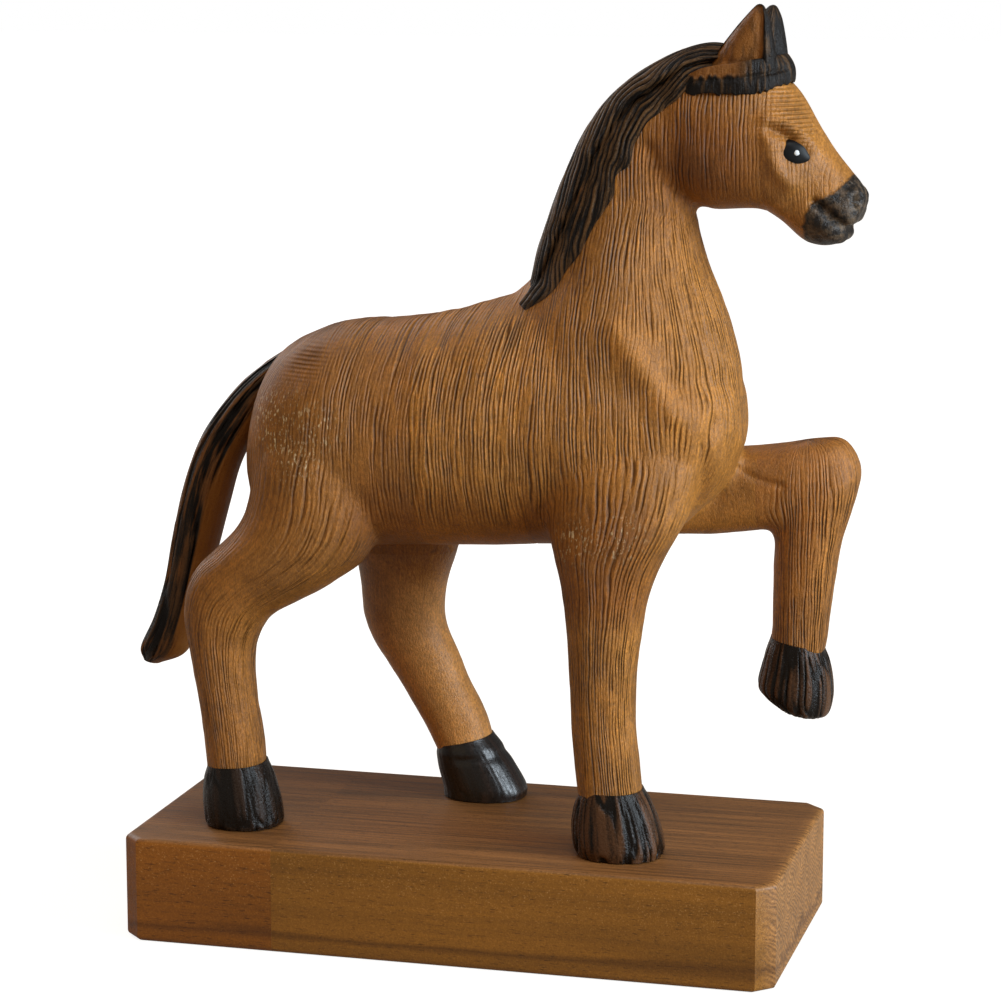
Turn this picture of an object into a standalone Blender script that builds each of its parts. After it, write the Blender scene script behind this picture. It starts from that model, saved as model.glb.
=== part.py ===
"""Carved wooden horse stepping out on a plinth, glued up from boards and pegged with dowels.

Metres, +Z up. The origin is the middle of the plinth's underside. The horse faces +X and its
right side faces -Y. It is carved as one form out of glued-up blanks, so each wooden piece is
a blank, with flat glue faces, intersected with the carved form.
"""
from collections import namedtuple
import math

import bpy
import numpy as np

# Plinth: two blocks, end to end, joined by a glue line and two dowels
PLINTH_LENGTH = 0.168
PLINTH_WIDTH = 0.0786
PLINTH_THICKNESS = 0.027
PLINTH_CORNER = 0.0043
PLINTH_ARRIS = 0.0012
PLINTH_JOINT_X = -0.0437

# Glue lines and dowel fits
GLUE_GAP = 0.0003
DOWEL_CLEARANCE = 0.0003
DOWEL_CHAMFER = 0.0006
DOWEL_SIDES = 20

PLINTH_DOWEL_DIAMETER = 0.008
PLINTH_DOWEL_LENGTH = 0.030
HOOF_DOWEL_DIAMETER = 0.006
HOOF_DOWEL_IN_LEG = 0.014
HOOF_DOWEL_IN_PLINTH = 0.010
LIMB_DOWEL_DIAMETER = 0.006
LIMB_DOWEL_LENGTH = 0.018
LIMB_DOWEL_SPACING = 0.010
FACE_DOWEL_DIAMETER = 0.005
FACE_DOWEL_LENGTH = 0.015
FACE_DOWEL_SPACING = 0.012
TAIL_DOWEL_DIAMETER = 0.005
TAIL_DOWEL_IN_TAIL = 0.006
TAIL_DOWEL_IN_RUMP = 0.010

# The horse is set out on a drawing: x from the plinth's middle, side from the horse's own
# mid-plane and height above the plinth's top, all in the unit that gives it its height
HORSE_HEIGHT = 0.2097
DRAWING_HEIGHT = 209.7
DRAWING_UNIT = HORSE_HEIGHT / DRAWING_HEIGHT
HORSE_MID_Y = 0.002

# Fineness of the carved form
VOXEL = 0.0017
FORM_SMOOTHING = 3
FORM_DETAIL = 0.1
RIB_STEPS = 4
RIB_POINTS = 24

# A rib is a cross-section whose chord runs from (x1, z1) to (x2, z2) in side view
Rib = namedtuple("Rib", "x1 z1 x2 z2 half_width side squareness")

TRUNK = (
    Rib(-59.5, 103, -60.5, 90, 7, 0, 2),
    Rib(-56, 114.5, -58.5, 80, 15.5, 0, 2),
    Rib(-50.5, 122, -53.5, 74, 21, 0, 2.1),
    Rib(-42.5, 126.3, -46, 71.5, 24, 0, 2.2),
    Rib(-33.5, 129, -35.5, 71, 25.5, 0, 2.3),
    Rib(-21.5, 130, -23.5, 71.5, 25, 0, 2.3),
    Rib(-8.5, 131.8, -8.5, 72.5, 25.5, 0, 2.3),
    Rib(5.5, 136, 5.5, 73, 26, 0, 2.3),
    Rib(19.5, 140, 19.5, 73.8, 25.5, 0, 2.2),
    Rib(32, 138, 36, 74.2, 25, 0, 2.1),
    Rib(44, 134, 48.5, 77, 24, 0, 2),
    Rib(54.5, 129, 57, 84, 21.5, 0, 2),
    Rib(61.5, 124, 63.5, 91, 17, 0, 2),
    Rib(66.4, 117.5, 67.7, 101, 9, 0, 2),
)
NECK = (
    Rib(0, 129, 60, 95, 24, 0, 2),
    Rib(9, 137, 66.6, 115, 23.2, 0, 2),
    Rib(16.5, 145, 64.2, 128.5, 20, 0, 2),
    Rib(21, 157, 59.9, 141, 16.5, 0, 2),
    Rib(26.5, 169.7, 56.5, 150, 14.2, 0, 2),
    Rib(33, 181, 54.7, 158.5, 13, 0, 2),
    Rib(41.5, 189.2, 55.5, 164.5, 12, 0, 2),
    Rib(50.5, 193.7, 59.5, 168.5, 11.5, 0, 2),
)
HEAD = (
    Rib(43.5, 189.7, 49.5, 162.5, 9, 0, 2),
    Rib(51.5, 195.7, 53, 160.4, 12, 0, 2.3),
    Rib(61.5, 195.7, 59.5, 159.3, 13.5, 0, 2.4),
    Rib(71.5, 194.3, 66.5, 159.6, 14, 0, 2.4),
    Rib(78.6, 189.8, 72.3, 159.4, 13, 0, 2.4),
    Rib(84.2, 181.5, 76.3, 157, 11.5, 0, 2.3),
    Rib(89.2, 174.1, 79.6, 154, 10, 0, 2.2),
    Rib(93.6, 168.6, 83, 151.6, 9.2, 0, 2.2),
    Rib(96.4, 165, 88, 150.8, 9.4, 0, 2.2),
    Rib(97.4, 161.5, 93, 152.5, 7.5, 0, 2),
)
MANE = (
    Rib(12.5, 135, 16, 133.5, 6.5, 0, 2),
    Rib(14, 141, 22, 138, 9, 0, 2.4),
    Rib(15.8, 150, 27, 147, 11.5, 0, 2.4),
    Rib(19.3, 160.3, 31, 155.5, 12.5, 0, 2.4),
    Rib(23.7, 171.3, 35, 165, 12.5, 0, 2.4),
    Rib(29.7, 182.1, 39, 174, 12.5, 0, 2.4),
    Rib(37.5, 190.1, 45, 180.5, 12.5, 0, 2.4),
    Rib(46.5, 195.6, 50.5, 186.5, 12, 0, 2.4),
    Rib(54.5, 199, 56, 189.5, 11, 0, 2.4),
    Rib(60.5, 200.2, 62, 191, 8, 0, 2.4),
)
FORELOCK = (
    Rib(53.5, 192.6, 53.5, 187, 13, 0, 2.4),
    Rib(61.5, 194.6, 61.5, 186.8, 14.6, 0, 2.4),
    Rib(69.5, 196.1, 69, 187.5, 14.8, 0, 2.4),
    Rib(75, 196, 74.5, 189, 11.5, 0, 2.4),
    Rib(77.3, 193, 78, 189.8, 6, 0, 2.4),
)
RIGHT_EAR = (
    Rib(58.6, 194.7, 74.6, 194.2, 5, -6.5, 2),
    Rib(61.8, 200.7, 74.6, 199.7, 4.6, -7, 2),
    Rib(66, 205.9, 74.1, 204.7, 3.8, -7.3, 2),
    Rib(69.6, 209.7, 73.1, 209.2, 2.3, -7.5, 2),
)
LEFT_EAR = (
    Rib(59.6, 193.8, 75.6, 193.3, 5, 6.5, 2),
    Rib(62.8, 199.8, 75.6, 198.8, 4.6, 7, 2),
    Rib(67, 205, 75.1, 203.8, 3.8, 7.3, 2),
    Rib(70.6, 209.2, 74.1, 208.7, 2.3, 7.5, 2),
)
RIGHT_FORELEG = (
    Rib(60, 112, 18, 106, 12, -8, 2.2),
    Rib(60, 98, 20.5, 93, 13.5, -12.5, 2.2),
    Rib(57, 85, 22, 81, 13, -16, 2.3),
    Rib(51.4, 74.5, 24.3, 74.5, 11.5, -19, 2.3),
    Rib(48.6, 67, 26.3, 67, 10, -20.5, 2.2),
    Rib(46.7, 57, 27.8, 57, 9, -21.5, 2.2),
    Rib(45.5, 45, 28.9, 45, 8.4, -22, 2.2),
    Rib(45.3, 33, 29.5, 33, 8.2, -22, 2.2),
    Rib(46.3, 23, 30.1, 23, 8.2, -22, 2.2),
    Rib(47.2, 15.5, 31.2, 15.5, 8.2, -22, 2.2),
)
RIGHT_FORE_HOOF = (
    Rib(47.8, 16.5, 31.4, 16.5, 8.8, -22, 2.2),
    Rib(51.2, 9, 29.6, 9, 10, -22, 2.2),
    Rib(52.8, 3, 29.8, 3, 10.6, -22, 2.2),
    Rib(52.2, -2, 31.8, -2, 10.2, -22, 2.2),
)
RIGHT_HIND_LEG = (
    Rib(-20, 104, -52.5, 107, 14, -8, 2.2),
    Rib(-21, 93, -55.5, 97, 15, -11, 2.2),
    Rib(-22, 80.5, -57, 85, 14.5, -13, 2.2),
    Rib(-26, 70.5, -60, 77, 13, -15.5, 2.2),
    Rib(-34, 64, -65, 71.5, 11.5, -17.5, 2.2),
    Rib(-42.5, 59.2, -69.7, 67, 10, -18.5, 2.2),
    Rib(-50, 55, -72.5, 60.5, 9, -19.2, 2.2),
    Rib(-53.8, 49, -73, 52, 8.5, -19.5, 2.2),
    Rib(-55, 42, -71.3, 43, 8.3, -19.5, 2.2),
    Rib(-54.4, 33, -69.5, 33, 8.2, -19.5, 2.2),
    Rib(-53, 23, -68.2, 23, 8.2, -19.5, 2.2),
    Rib(-52.3, 15.5, -67.3, 15, 8.2, -19.5, 2.2),
)
RIGHT_HIND_HOOF = (
    Rib(-51.8, 16.5, -67.6, 15.5, 8.8, -19.5, 2.2),
    Rib(-49, 8, -68.7, 8, 9.3, -19.5, 2.2),
    Rib(-48, 2, -68.3, 2, 9.6, -19.5, 2.2),
    Rib(-48.6, -2, -67.4, -2, 9.3, -19.5, 2.2),
)
LEFT_HIND_LEG = (
    Rib(-9, 97, -43, 99, 11, 8, 2.2),
    Rib(-8.5, 83, -42, 84, 12, 12, 2.2),
    Rib(-9, 75, -40.3, 74, 11.5, 14.5, 2.2),
    Rib(-11, 68, -38.5, 65, 10.5, 16.5, 2.2),
    Rib(-14.4, 59, -37.8, 57, 9.5, 18.5, 2.2),
    Rib(-15.8, 51.5, -37.5, 49, 9, 20, 2.2),
    Rib(-15.2, 45, -35.8, 42.5, 8.6, 21, 2.2),
    Rib(-12.5, 38.5, -31.6, 35.5, 8.2, 21.5, 2.2),
    Rib(-9.2, 30.5, -26.4, 27.5, 8, 22, 2.2),
    Rib(-5.2, 22.5, -21, 18.5, 7.8, 22, 2.2),
    Rib(-3.2, 16, -18.2, 13.5, 7.8, 22, 2.2),
)
LEFT_HIND_HOOF = (
    Rib(-3, 16.5, -18.1, 13.5, 8.4, 22, 2.2),
    Rib(2.5, 9, -17.6, 8, 8.9, 22, 2.2),
    Rib(6, 3, -16.3, 3, 9.2, 22, 2.2),
    Rib(5.8, -2, -15.6, -2, 9, 22, 2.2),
)
RAISED_FORELEG = (
    Rib(40, 102, 42, 76, 7, 9, 2.4),
    Rib(49, 99, 50, 75, 8.5, 14, 2.5),
    Rib(56.5, 97.2, 56.5, 74.8, 9.5, 17, 2.6),
    Rib(65.5, 97.3, 65, 75.8, 9.5, 18, 2.8),
    Rib(75.5, 98.8, 71.2, 76.6, 9.3, 18, 2.8),
    Rib(83.5, 100.3, 72.5, 75.6, 9.2, 18, 2.6),
    Rib(90.3, 100, 72.7, 74.5, 9, 18, 2.4),
    Rib(94.2, 93.2, 72.7, 72.8, 9, 18, 2.4),
    Rib(92.9, 85, 72.6, 69, 8.8, 18, 2.4),
    Rib(90, 75, 72.6, 63.4, 8.5, 18, 2.4),
    Rib(88.3, 65, 72.5, 58.4, 8.2, 18, 2.4),
    Rib(87, 55.2, 72.4, 52.4, 8, 18, 2.4),
    Rib(86, 46.4, 72, 49, 7.8, 18, 2.4),
)
RAISED_HOOF = (
    Rib(85.7, 46.6, 71.8, 49, 8.4, 18, 2.2),
    Rib(87.8, 39.5, 69.8, 41.8, 9.3, 18, 2.2),
    Rib(88.2, 33.6, 68.8, 36.6, 9.8, 18, 2.2),
    Rib(87.2, 29.3, 70.4, 34, 9.3, 18, 2.2),
    Rib(84, 27.2, 75.5, 30, 7, 18, 2),
)
TAIL = (
    Rib(-46.5, 124, -52.5, 113.5, 7, 0, 2),
    Rib(-58.7, 116.3, -55.5, 107.5, 7, 0, 2),
    Rib(-67.4, 108, -60, 99.5, 7.2, 0, 2),
    Rib(-75.8, 96, -65, 90, 7.4, 0, 2),
    Rib(-80.8, 82.2, -68.2, 79.5, 7.4, 0, 2),
    Rib(-83.6, 69.7, -71, 69.5, 7.2, 0, 2),
    Rib(-85.8, 58.7, -74.5, 57, 6.8, 0, 2),
    Rib(-89.2, 48.6, -77.5, 46.2, 6.3, 0, 2),
    Rib(-93.4, 40.4, -81, 39.1, 5.4, 0, 2),
    Rib(-94, 36.6, -88, 35, 3.2, 0, 2),
)

# Glue lines between the body's boards, as stations along the drawing
HIND_SEAM = -25
LOIN_SEAM = -12
SHOULDER_SEAM = 16
FACE_SEAM = 73
FACE_SEAM_FOOT = 140

# The left hind leg is glued on under the belly, the raised foreleg in front of the chest
LEFT_HIND_SEAM_HEIGHT = 67
LEFT_HIND_BLANK_REAR = -47
LEFT_HIND_BLANK_FRONT = 14
RAISED_SEAM = 69
RAISED_SEAM_HEAD = 110

# The tail's root is let into the croup: (x, z) outline of its blank in side view
TAIL_OUTLINE = ((-45, 129), (-62, 91), (-62, 28), (-104, 28), (-104, 129))
TAIL_HOUSING_HALF_WIDTH = 8.5

# Drawing limits that every blank is cut from
BLANK_REACH = 120
BLANK_HEIGHT = 230


def clear_scene():
    """Remove whatever the scene holds."""
    for old in list(bpy.data.objects):
        bpy.data.objects.remove(old, do_unlink=True)


def linear(channel):
    """Linear value of one sRGB channel."""
    if channel <= 0.04045:
        return channel / 12.92
    return ((channel + 0.055) / 1.055) ** 2.4


def wood(name, hex_colour, roughness):
    """Wood material from an sRGB colour."""
    channels = [int(hex_colour[i:i + 2], 16) / 255 for i in (0, 2, 4)]
    material = bpy.data.materials.new(name)
    material.use_nodes = True
    shader = material.node_tree.nodes["Principled BSDF"]
    shader.inputs["Base Color"].default_value = (*map(linear, channels), 1.0)
    shader.inputs["Roughness"].default_value = roughness
    shader.inputs["Metallic"].default_value = 0.0
    return material


def add_object(name, vertices, faces, material=None):
    """Mesh object of the given vertices and faces, in the scene."""
    mesh = bpy.data.meshes.new(name)
    mesh.from_pydata(vertices, [], faces)
    mesh.update()
    obj = bpy.data.objects.new(name, mesh)
    bpy.context.scene.collection.objects.link(obj)
    if material:
        mesh.materials.append(material)
    return obj


def as_helper(obj):
    """Keep a guide or cutter out of the finished part."""
    obj.hide_render = True
    obj.display_type = "WIRE"
    return obj


def add_boolean(obj, operation, operand):
    """Cut an object with another object, or with every object of a collection."""
    modifier = obj.modifiers.new(operation.lower(), "BOOLEAN")
    modifier.operation = operation
    modifier.solver = "EXACT"
    if isinstance(operand, bpy.types.Collection):
        modifier.operand_type = "COLLECTION"
        modifier.collection = operand
    else:
        modifier.object = operand


def place(x, side, height):
    """World point of a drawing point."""
    return (x * DRAWING_UNIT, HORSE_MID_Y + side * DRAWING_UNIT,
            PLINTH_THICKNESS + height * DRAWING_UNIT)


def fair(ribs):
    """Ribs at RIB_STEPS per span, on Catmull-Rom curves through the given ones."""
    rows = np.array(ribs, float)
    ends = (2 * rows[0] - rows[1], rows, 2 * rows[-1] - rows[-2])
    rows = np.vstack(ends)
    stations = np.linspace(0, len(ribs) - 1, (len(ribs) - 1) * RIB_STEPS + 1)
    span = np.minimum(stations.astype(int), len(ribs) - 2)
    t = (stations - span)[:, None]
    a, b, c, d = (rows[span + k] for k in range(4))
    bend = (2 * a - 5 * b + 4 * c - d) * t ** 2 + (3 * b - a - 3 * c + d) * t ** 3
    return (2 * b + (c - a) * t + bend) / 2


def loft(ribs):
    """Closed skin over a row of ribs, each a superellipse across its chord."""
    x1, z1, x2, z2, half_width, side, squareness = fair(ribs).T[:, :, None]
    turn = np.linspace(0, 2 * math.pi, RIB_POINTS, endpoint=False)
    along = np.sign(np.cos(turn)) * np.abs(np.cos(turn)) ** (2 / squareness)
    across = np.sign(np.sin(turn)) * np.abs(np.sin(turn)) ** (2 / squareness)
    x = (x1 + x2) / 2 + (x1 - x2) / 2 * along
    z = (z1 + z2) / 2 + (z1 - z2) / 2 * along
    y = side + half_width * across
    vertices = [place(*point) for point in np.stack((x, y, z), -1).reshape(-1, 3)]
    count = len(x)
    faces = [list(range(RIB_POINTS)), list(range((count - 1) * RIB_POINTS, count * RIB_POINTS))]
    for ring in range(count - 1):
        for k in range(RIB_POINTS):
            here = ring * RIB_POINTS + k
            beside = ring * RIB_POINTS + (k + 1) % RIB_POINTS
            faces.append((here, beside, beside + RIB_POINTS, here + RIB_POINTS))
    return vertices, faces


def carved_form():
    """The whole horse as one skin: every rib row fused, faired and thinned."""
    vertices = []
    faces = []
    rows = (TRUNK, NECK, HEAD, MANE, FORELOCK, RIGHT_EAR, LEFT_EAR, RIGHT_FORELEG, RIGHT_FORE_HOOF,
            RIGHT_HIND_LEG, RIGHT_HIND_HOOF, LEFT_HIND_LEG, LEFT_HIND_HOOF, RAISED_FORELEG,
            RAISED_HOOF, TAIL)
    for ribs in rows:
        skin, skin_faces = loft(ribs)
        faces += [[index + len(vertices) for index in face] for face in skin_faces]
        vertices += skin
    form = as_helper(add_object("carved_form", vertices, faces))
    remesh = form.modifiers.new("fuse", "REMESH")
    remesh.mode = "VOXEL"
    remesh.voxel_size = VOXEL
    remesh.use_smooth_shade = True
    smooth = form.modifiers.new("fair", "SMOOTH")
    smooth.iterations = FORM_SMOOTHING
    thin = form.modifiers.new("thin", "DECIMATE")
    thin.ratio = FORM_DETAIL
    return form


def prism(name, outline, low_y, high_y):
    """Solid with a closed (x, z) outline, run along Y."""
    area = sum(x * outline[i - 1][1] - z * outline[i - 1][0] for i, (x, z) in enumerate(outline))
    if area < 0:
        outline = outline[::-1]
    count = len(outline)
    vertices = [(x, y, z) for y in (low_y, high_y) for x, z in outline]
    faces = [list(range(count))[::-1], list(range(count, 2 * count))]
    for k in range(count):
        after = (k + 1) % count
        faces.append((k, after, after + count, k + count))
    return add_object(name, vertices, faces)


def grown(outline, distance):
    """Outline moved outwards by a distance, corners mitred."""
    points = np.array(outline, float)
    before = points - np.roll(points, 1, axis=0)
    after = np.roll(points, -1, axis=0) - points
    turning = np.sum(points[:, 0] * np.roll(points[:, 1], -1) - np.roll(points[:, 0], -1) * points[:, 1])
    outward = math.copysign(1.0, turning)

    def normal(edges):
        return outward * np.stack((edges[:, 1], -edges[:, 0]), -1) / np.linalg.norm(edges, axis=1)[:, None]

    first = normal(before)
    second = normal(after)
    mitre = (first + second) / (1 + np.sum(first * second, axis=1))[:, None]
    return [tuple(point) for point in points + mitre * distance]


def world_outline(outline):
    """World (x, z) points of a drawing outline."""
    return [(place(x, 0, z)[0], place(x, 0, z)[2]) for x, z in outline]


def box_outline(rear, low, front, high):
    """Rectangular drawing outline between two stations and two heights."""
    return ((rear, low), (front, low), (front, high), (rear, high))


def side_y(side):
    """World Y of a distance from the horse's mid-plane."""
    return place(0, side, 0)[1]


def board(name, rear, front):
    """Full-height blank between two stations, standing one glue line above the plinth."""
    low = PLINTH_THICKNESS + GLUE_GAP
    high = place(0, 0, BLANK_HEIGHT)[2]
    rear_x = rear * DRAWING_UNIT + GLUE_GAP / 2
    front_x = front * DRAWING_UNIT - GLUE_GAP / 2
    outline = ((rear_x, low), (front_x, low), (front_x, high), (rear_x, high))
    return prism(name, outline, side_y(-BLANK_REACH), side_y(BLANK_REACH))


def let_in(name, outline, low_side, high_side):
    """Blank of a piece that is let into the body, and the cutter that clears its housing."""
    shape = world_outline(outline)
    low_y = side_y(low_side)
    high_y = side_y(high_side)
    blank = prism(name, shape, low_y, high_y)
    housing = prism(f"{name}_housing", grown(shape, GLUE_GAP), low_y - GLUE_GAP, high_y + GLUE_GAP)
    return blank, as_helper(housing)


def carve(blank, form, housings, holes, material):
    """Turn a blank into its finished piece."""
    blank.data.materials.append(material)
    add_boolean(blank, "INTERSECT", form)
    for housing in housings:
        add_boolean(blank, "DIFFERENCE", housing)
    add_boolean(blank, "DIFFERENCE", holes)


def peg(name, radius, low, high, chamfer):
    """Round peg along its own Z from low to high, with chamfered ends."""
    levels = ((radius - chamfer, low), (radius, low + chamfer), (radius, high - chamfer),
              (radius - chamfer, high))
    vertices = []
    for ring_radius, height in levels:
        for k in range(DOWEL_SIDES):
            turn = 2 * math.pi * k / DOWEL_SIDES
            vertices.append((ring_radius * math.cos(turn), ring_radius * math.sin(turn), height))
    faces = [list(range(DOWEL_SIDES))[::-1], list(range(3 * DOWEL_SIDES, 4 * DOWEL_SIDES))]
    for ring in range(len(levels) - 1):
        for k in range(DOWEL_SIDES):
            here = ring * DOWEL_SIDES + k
            beside = ring * DOWEL_SIDES + (k + 1) % DOWEL_SIDES
            faces.append((here, beside, beside + DOWEL_SIDES, here + DOWEL_SIDES))
    return add_object(name, vertices, faces)


def dowel(name, spot, turn_y, turn_x, diameter, behind, ahead, holes, material):
    """Dowel through a joint at a spot, and its hole, which is deeper by the clearance."""
    radius = diameter / 2
    pin = peg(name, radius, -behind, ahead, DOWEL_CHAMFER)
    pin.data.materials.append(material)
    pin.data.shade_smooth()
    pin.data.set_sharp_from_angle(angle=math.radians(30))
    hole = as_helper(peg(f"{name}_hole", radius + DOWEL_CLEARANCE, -behind - DOWEL_CLEARANCE,
                         ahead + DOWEL_CLEARANCE, DOWEL_CHAMFER))
    holes.objects.link(hole)
    for obj in (pin, hole):
        obj.location = spot
        obj.rotation_euler = (turn_x, turn_y, 0)


def chord_middle(rib):
    """Middle of a rib's chord on the drawing."""
    return np.array(((rib.x1 + rib.x2) / 2, (rib.z1 + rib.z2) / 2))


def rib_at(ribs, axis, station):
    """The rib whose middle lies nearest to a station along x (axis 0) or up z (axis 1)."""
    return min(ribs, key=lambda rib: abs(chord_middle(rib)[axis] - station))


def hoof_dowels(holes, material):
    """Upright dowels that peg the three standing hooves to the plinth."""
    hooves = {"right_fore": RIGHT_FORE_HOOF, "right_hind": RIGHT_HIND_HOOF, "left_hind": LEFT_HIND_HOOF}
    for leg, ribs in hooves.items():
        middle = (chord_middle(ribs[0]) + chord_middle(ribs[-1])) / 2
        dowel(f"{leg}_hoof_dowel", place(middle[0], ribs[0].side, 0), 0, 0, HOOF_DOWEL_DIAMETER,
              HOOF_DOWEL_IN_PLINTH, HOOF_DOWEL_IN_LEG, holes, material)


def plinth_dowels(holes, material):
    """Dowels along the plinth, low down so that they pass under the hoof dowels."""
    for name, sign in (("right", -1), ("left", 1)):
        spot = (PLINTH_JOINT_X, sign * PLINTH_WIDTH / 3, PLINTH_THICKNESS / 3)
        dowel(f"plinth_joint_dowel_{name}", spot, math.pi / 2, 0, PLINTH_DOWEL_DIAMETER,
              PLINTH_DOWEL_LENGTH / 2, PLINTH_DOWEL_LENGTH / 2, holes, material)


def left_hind_dowels(holes, material):
    """Upright dowels, one behind the other, through the left hind leg's glue face."""
    rib = rib_at(LEFT_HIND_LEG, 1, LEFT_HIND_SEAM_HEIGHT)
    centre = place(chord_middle(rib)[0], rib.side, LEFT_HIND_SEAM_HEIGHT)
    for name, sign in (("rear", -1), ("front", 1)):
        spot = (centre[0] + sign * LIMB_DOWEL_SPACING / 2, centre[1], centre[2])
        dowel(f"left_hind_leg_dowel_{name}", spot, 0, 0, LIMB_DOWEL_DIAMETER,
              LIMB_DOWEL_LENGTH / 2, LIMB_DOWEL_LENGTH / 2, holes, material)


def raised_dowels(holes, material):
    """Level dowels, one above the other, through the raised foreleg's glue face."""
    rib = rib_at(RAISED_FORELEG, 0, RAISED_SEAM)
    centre = place(RAISED_SEAM, rib.side, chord_middle(rib)[1])
    for name, sign in (("lower", -1), ("upper", 1)):
        spot = (centre[0], centre[1], centre[2] + sign * LIMB_DOWEL_SPACING / 2)
        dowel(f"raised_foreleg_dowel_{name}", spot, math.pi / 2, 0, LIMB_DOWEL_DIAMETER,
              LIMB_DOWEL_LENGTH / 2, LIMB_DOWEL_LENGTH / 2, holes, material)


def face_dowels(holes, material):
    """Dowels across the glue line of the face, above each other at the middle of the cheek."""
    centre = place(FACE_SEAM, 0, chord_middle(rib_at(HEAD, 0, FACE_SEAM))[1])
    for name, sign in (("lower", -1), ("upper", 1)):
        spot = (centre[0], centre[1], centre[2] + sign * FACE_DOWEL_SPACING / 2)
        dowel(f"face_dowel_{name}", spot, math.pi / 2, 0, FACE_DOWEL_DIAMETER,
              FACE_DOWEL_LENGTH / 2, FACE_DOWEL_LENGTH / 2, holes, material)


def tail_dowel(holes, material):
    """Dowel square to the sloping face that the tail's root is glued to."""
    top, foot = np.array(TAIL_OUTLINE[0]), np.array(TAIL_OUTLINE[1])
    slope = math.atan2(top[0] - foot[0], top[1] - foot[1])
    spot = place((top[0] + foot[0]) / 2, 0, (top[1] + foot[1]) / 2)
    dowel("tail_dowel", spot, slope - math.pi / 2, 0, TAIL_DOWEL_DIAMETER, TAIL_DOWEL_IN_RUMP,
          TAIL_DOWEL_IN_TAIL, holes, material)


def plinth(holes, material):
    """The plinth's two blocks, cut from one block with chamfered corners and eased arrises."""
    half_x = PLINTH_LENGTH / 2
    half_y = PLINTH_WIDTH / 2
    corner = PLINTH_CORNER
    plan = ((corner - half_x, -half_y), (half_x - corner, -half_y), (half_x, corner - half_y),
            (half_x, half_y - corner), (half_x - corner, half_y), (corner - half_x, half_y),
            (-half_x, half_y - corner), (-half_x, corner - half_y))
    ease = PLINTH_ARRIS * (1 - math.sqrt(0.5))
    under = ((PLINTH_ARRIS, 0), (ease, ease), (0, PLINTH_ARRIS))
    levels = under + tuple((inset, PLINTH_THICKNESS - z) for inset, z in reversed(under))
    vertices = [(x, y, z) for inset, z in levels for x, y in grown(plan, -inset)]
    count = len(plan)
    last = (len(levels) - 1) * count
    faces = [list(range(count))[::-1], list(range(last, last + count))]
    for level in range(0, last, count):
        for k in range(count):
            after = (k + 1) % count
            faces.append((level + k, level + after, level + after + count, level + k + count))
    block = as_helper(add_object("plinth_block", vertices, faces))
    ends = (("plinth_end_block", -PLINTH_LENGTH, PLINTH_JOINT_X - GLUE_GAP / 2),
            ("plinth_main_block", PLINTH_JOINT_X + GLUE_GAP / 2, PLINTH_LENGTH))
    for name, rear, front in ends:
        outline = ((rear, -PLINTH_THICKNESS), (front, -PLINTH_THICKNESS),
                   (front, 2 * PLINTH_THICKNESS), (rear, 2 * PLINTH_THICKNESS))
        carve(prism(name, outline, -PLINTH_WIDTH, PLINTH_WIDTH), block, (), holes, material)


def main():
    clear_scene()
    carved_wood = wood("carved_tan_wood", "A5713E", 0.5)
    leg_wood = wood("smooth_reddish_wood", "96602F", 0.42)
    tail_wood = wood("blackened_tail_wood", "3A2A1E", 0.45)
    plinth_wood = wood("waxed_brown_wood", "80502A", 0.4)
    peg_wood = wood("pale_dowel_wood", "C9A878", 0.6)
    holes = bpy.data.collections.new("dowel_holes")
    hoof_dowels(holes, peg_wood)
    plinth_dowels(holes, peg_wood)
    left_hind_dowels(holes, peg_wood)
    raised_dowels(holes, peg_wood)
    face_dowels(holes, peg_wood)
    tail_dowel(holes, peg_wood)
    plinth(holes, plinth_wood)
    form = carved_form()
    tail, tail_housing = let_in("tail", TAIL_OUTLINE, -TAIL_HOUSING_HALF_WIDTH, TAIL_HOUSING_HALF_WIDTH)
    face_outline = box_outline(FACE_SEAM, FACE_SEAM_FOOT, BLANK_REACH, BLANK_HEIGHT)
    face, face_housing = let_in("face_block", face_outline, -BLANK_REACH, BLANK_REACH)
    raised_outline = box_outline(RAISED_SEAM, 0, BLANK_REACH, RAISED_SEAM_HEAD)
    raised, raised_housing = let_in("raised_foreleg", raised_outline, -BLANK_REACH, BLANK_REACH)
    left_hind_outline = box_outline(LEFT_HIND_BLANK_REAR, -BLANK_REACH, LEFT_HIND_BLANK_FRONT,
                                    LEFT_HIND_SEAM_HEIGHT)
    left_hind, left_hind_housing = let_in("left_hind_leg", left_hind_outline, 0, BLANK_REACH)
    ground = box_outline(-BLANK_REACH, -BLANK_REACH, BLANK_REACH, 0)
    sole_line = as_helper(prism("sole_line", grown(world_outline(ground), GLUE_GAP),
                                side_y(-BLANK_REACH), side_y(BLANK_REACH)))
    carve(tail, form, (), holes, tail_wood)
    carve(face, form, (), holes, carved_wood)
    carve(left_hind, form, (sole_line,), holes, leg_wood)
    carve(raised, form, (), holes, carved_wood)
    boards = (("hindquarter_block", -BLANK_REACH, HIND_SEAM, (tail_housing, left_hind_housing)),
              ("loin_board", HIND_SEAM, LOIN_SEAM, (left_hind_housing,)),
              ("barrel_board", LOIN_SEAM, SHOULDER_SEAM, (left_hind_housing,)),
              ("forequarter_block", SHOULDER_SEAM, BLANK_REACH, (raised_housing, face_housing)))
    for name, rear, front, housings in boards:
        carve(board(name, rear, front), form, housings, holes, carved_wood)


main()
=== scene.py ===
"""Looks of a carved wooden horse on a plinth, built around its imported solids.

Shapes are worked out in millimetres on the carver's drawing: x from the plinth's middle towards
the nose, side from the horse's own mid-plane towards its left, height above the plinth's top.
"""

from collections import namedtuple
from functools import partial
import itertools
import math

import bmesh
import bpy
from mathutils import Matrix, Vector
from mathutils.kdtree import KDTree
import numpy as np


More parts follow.
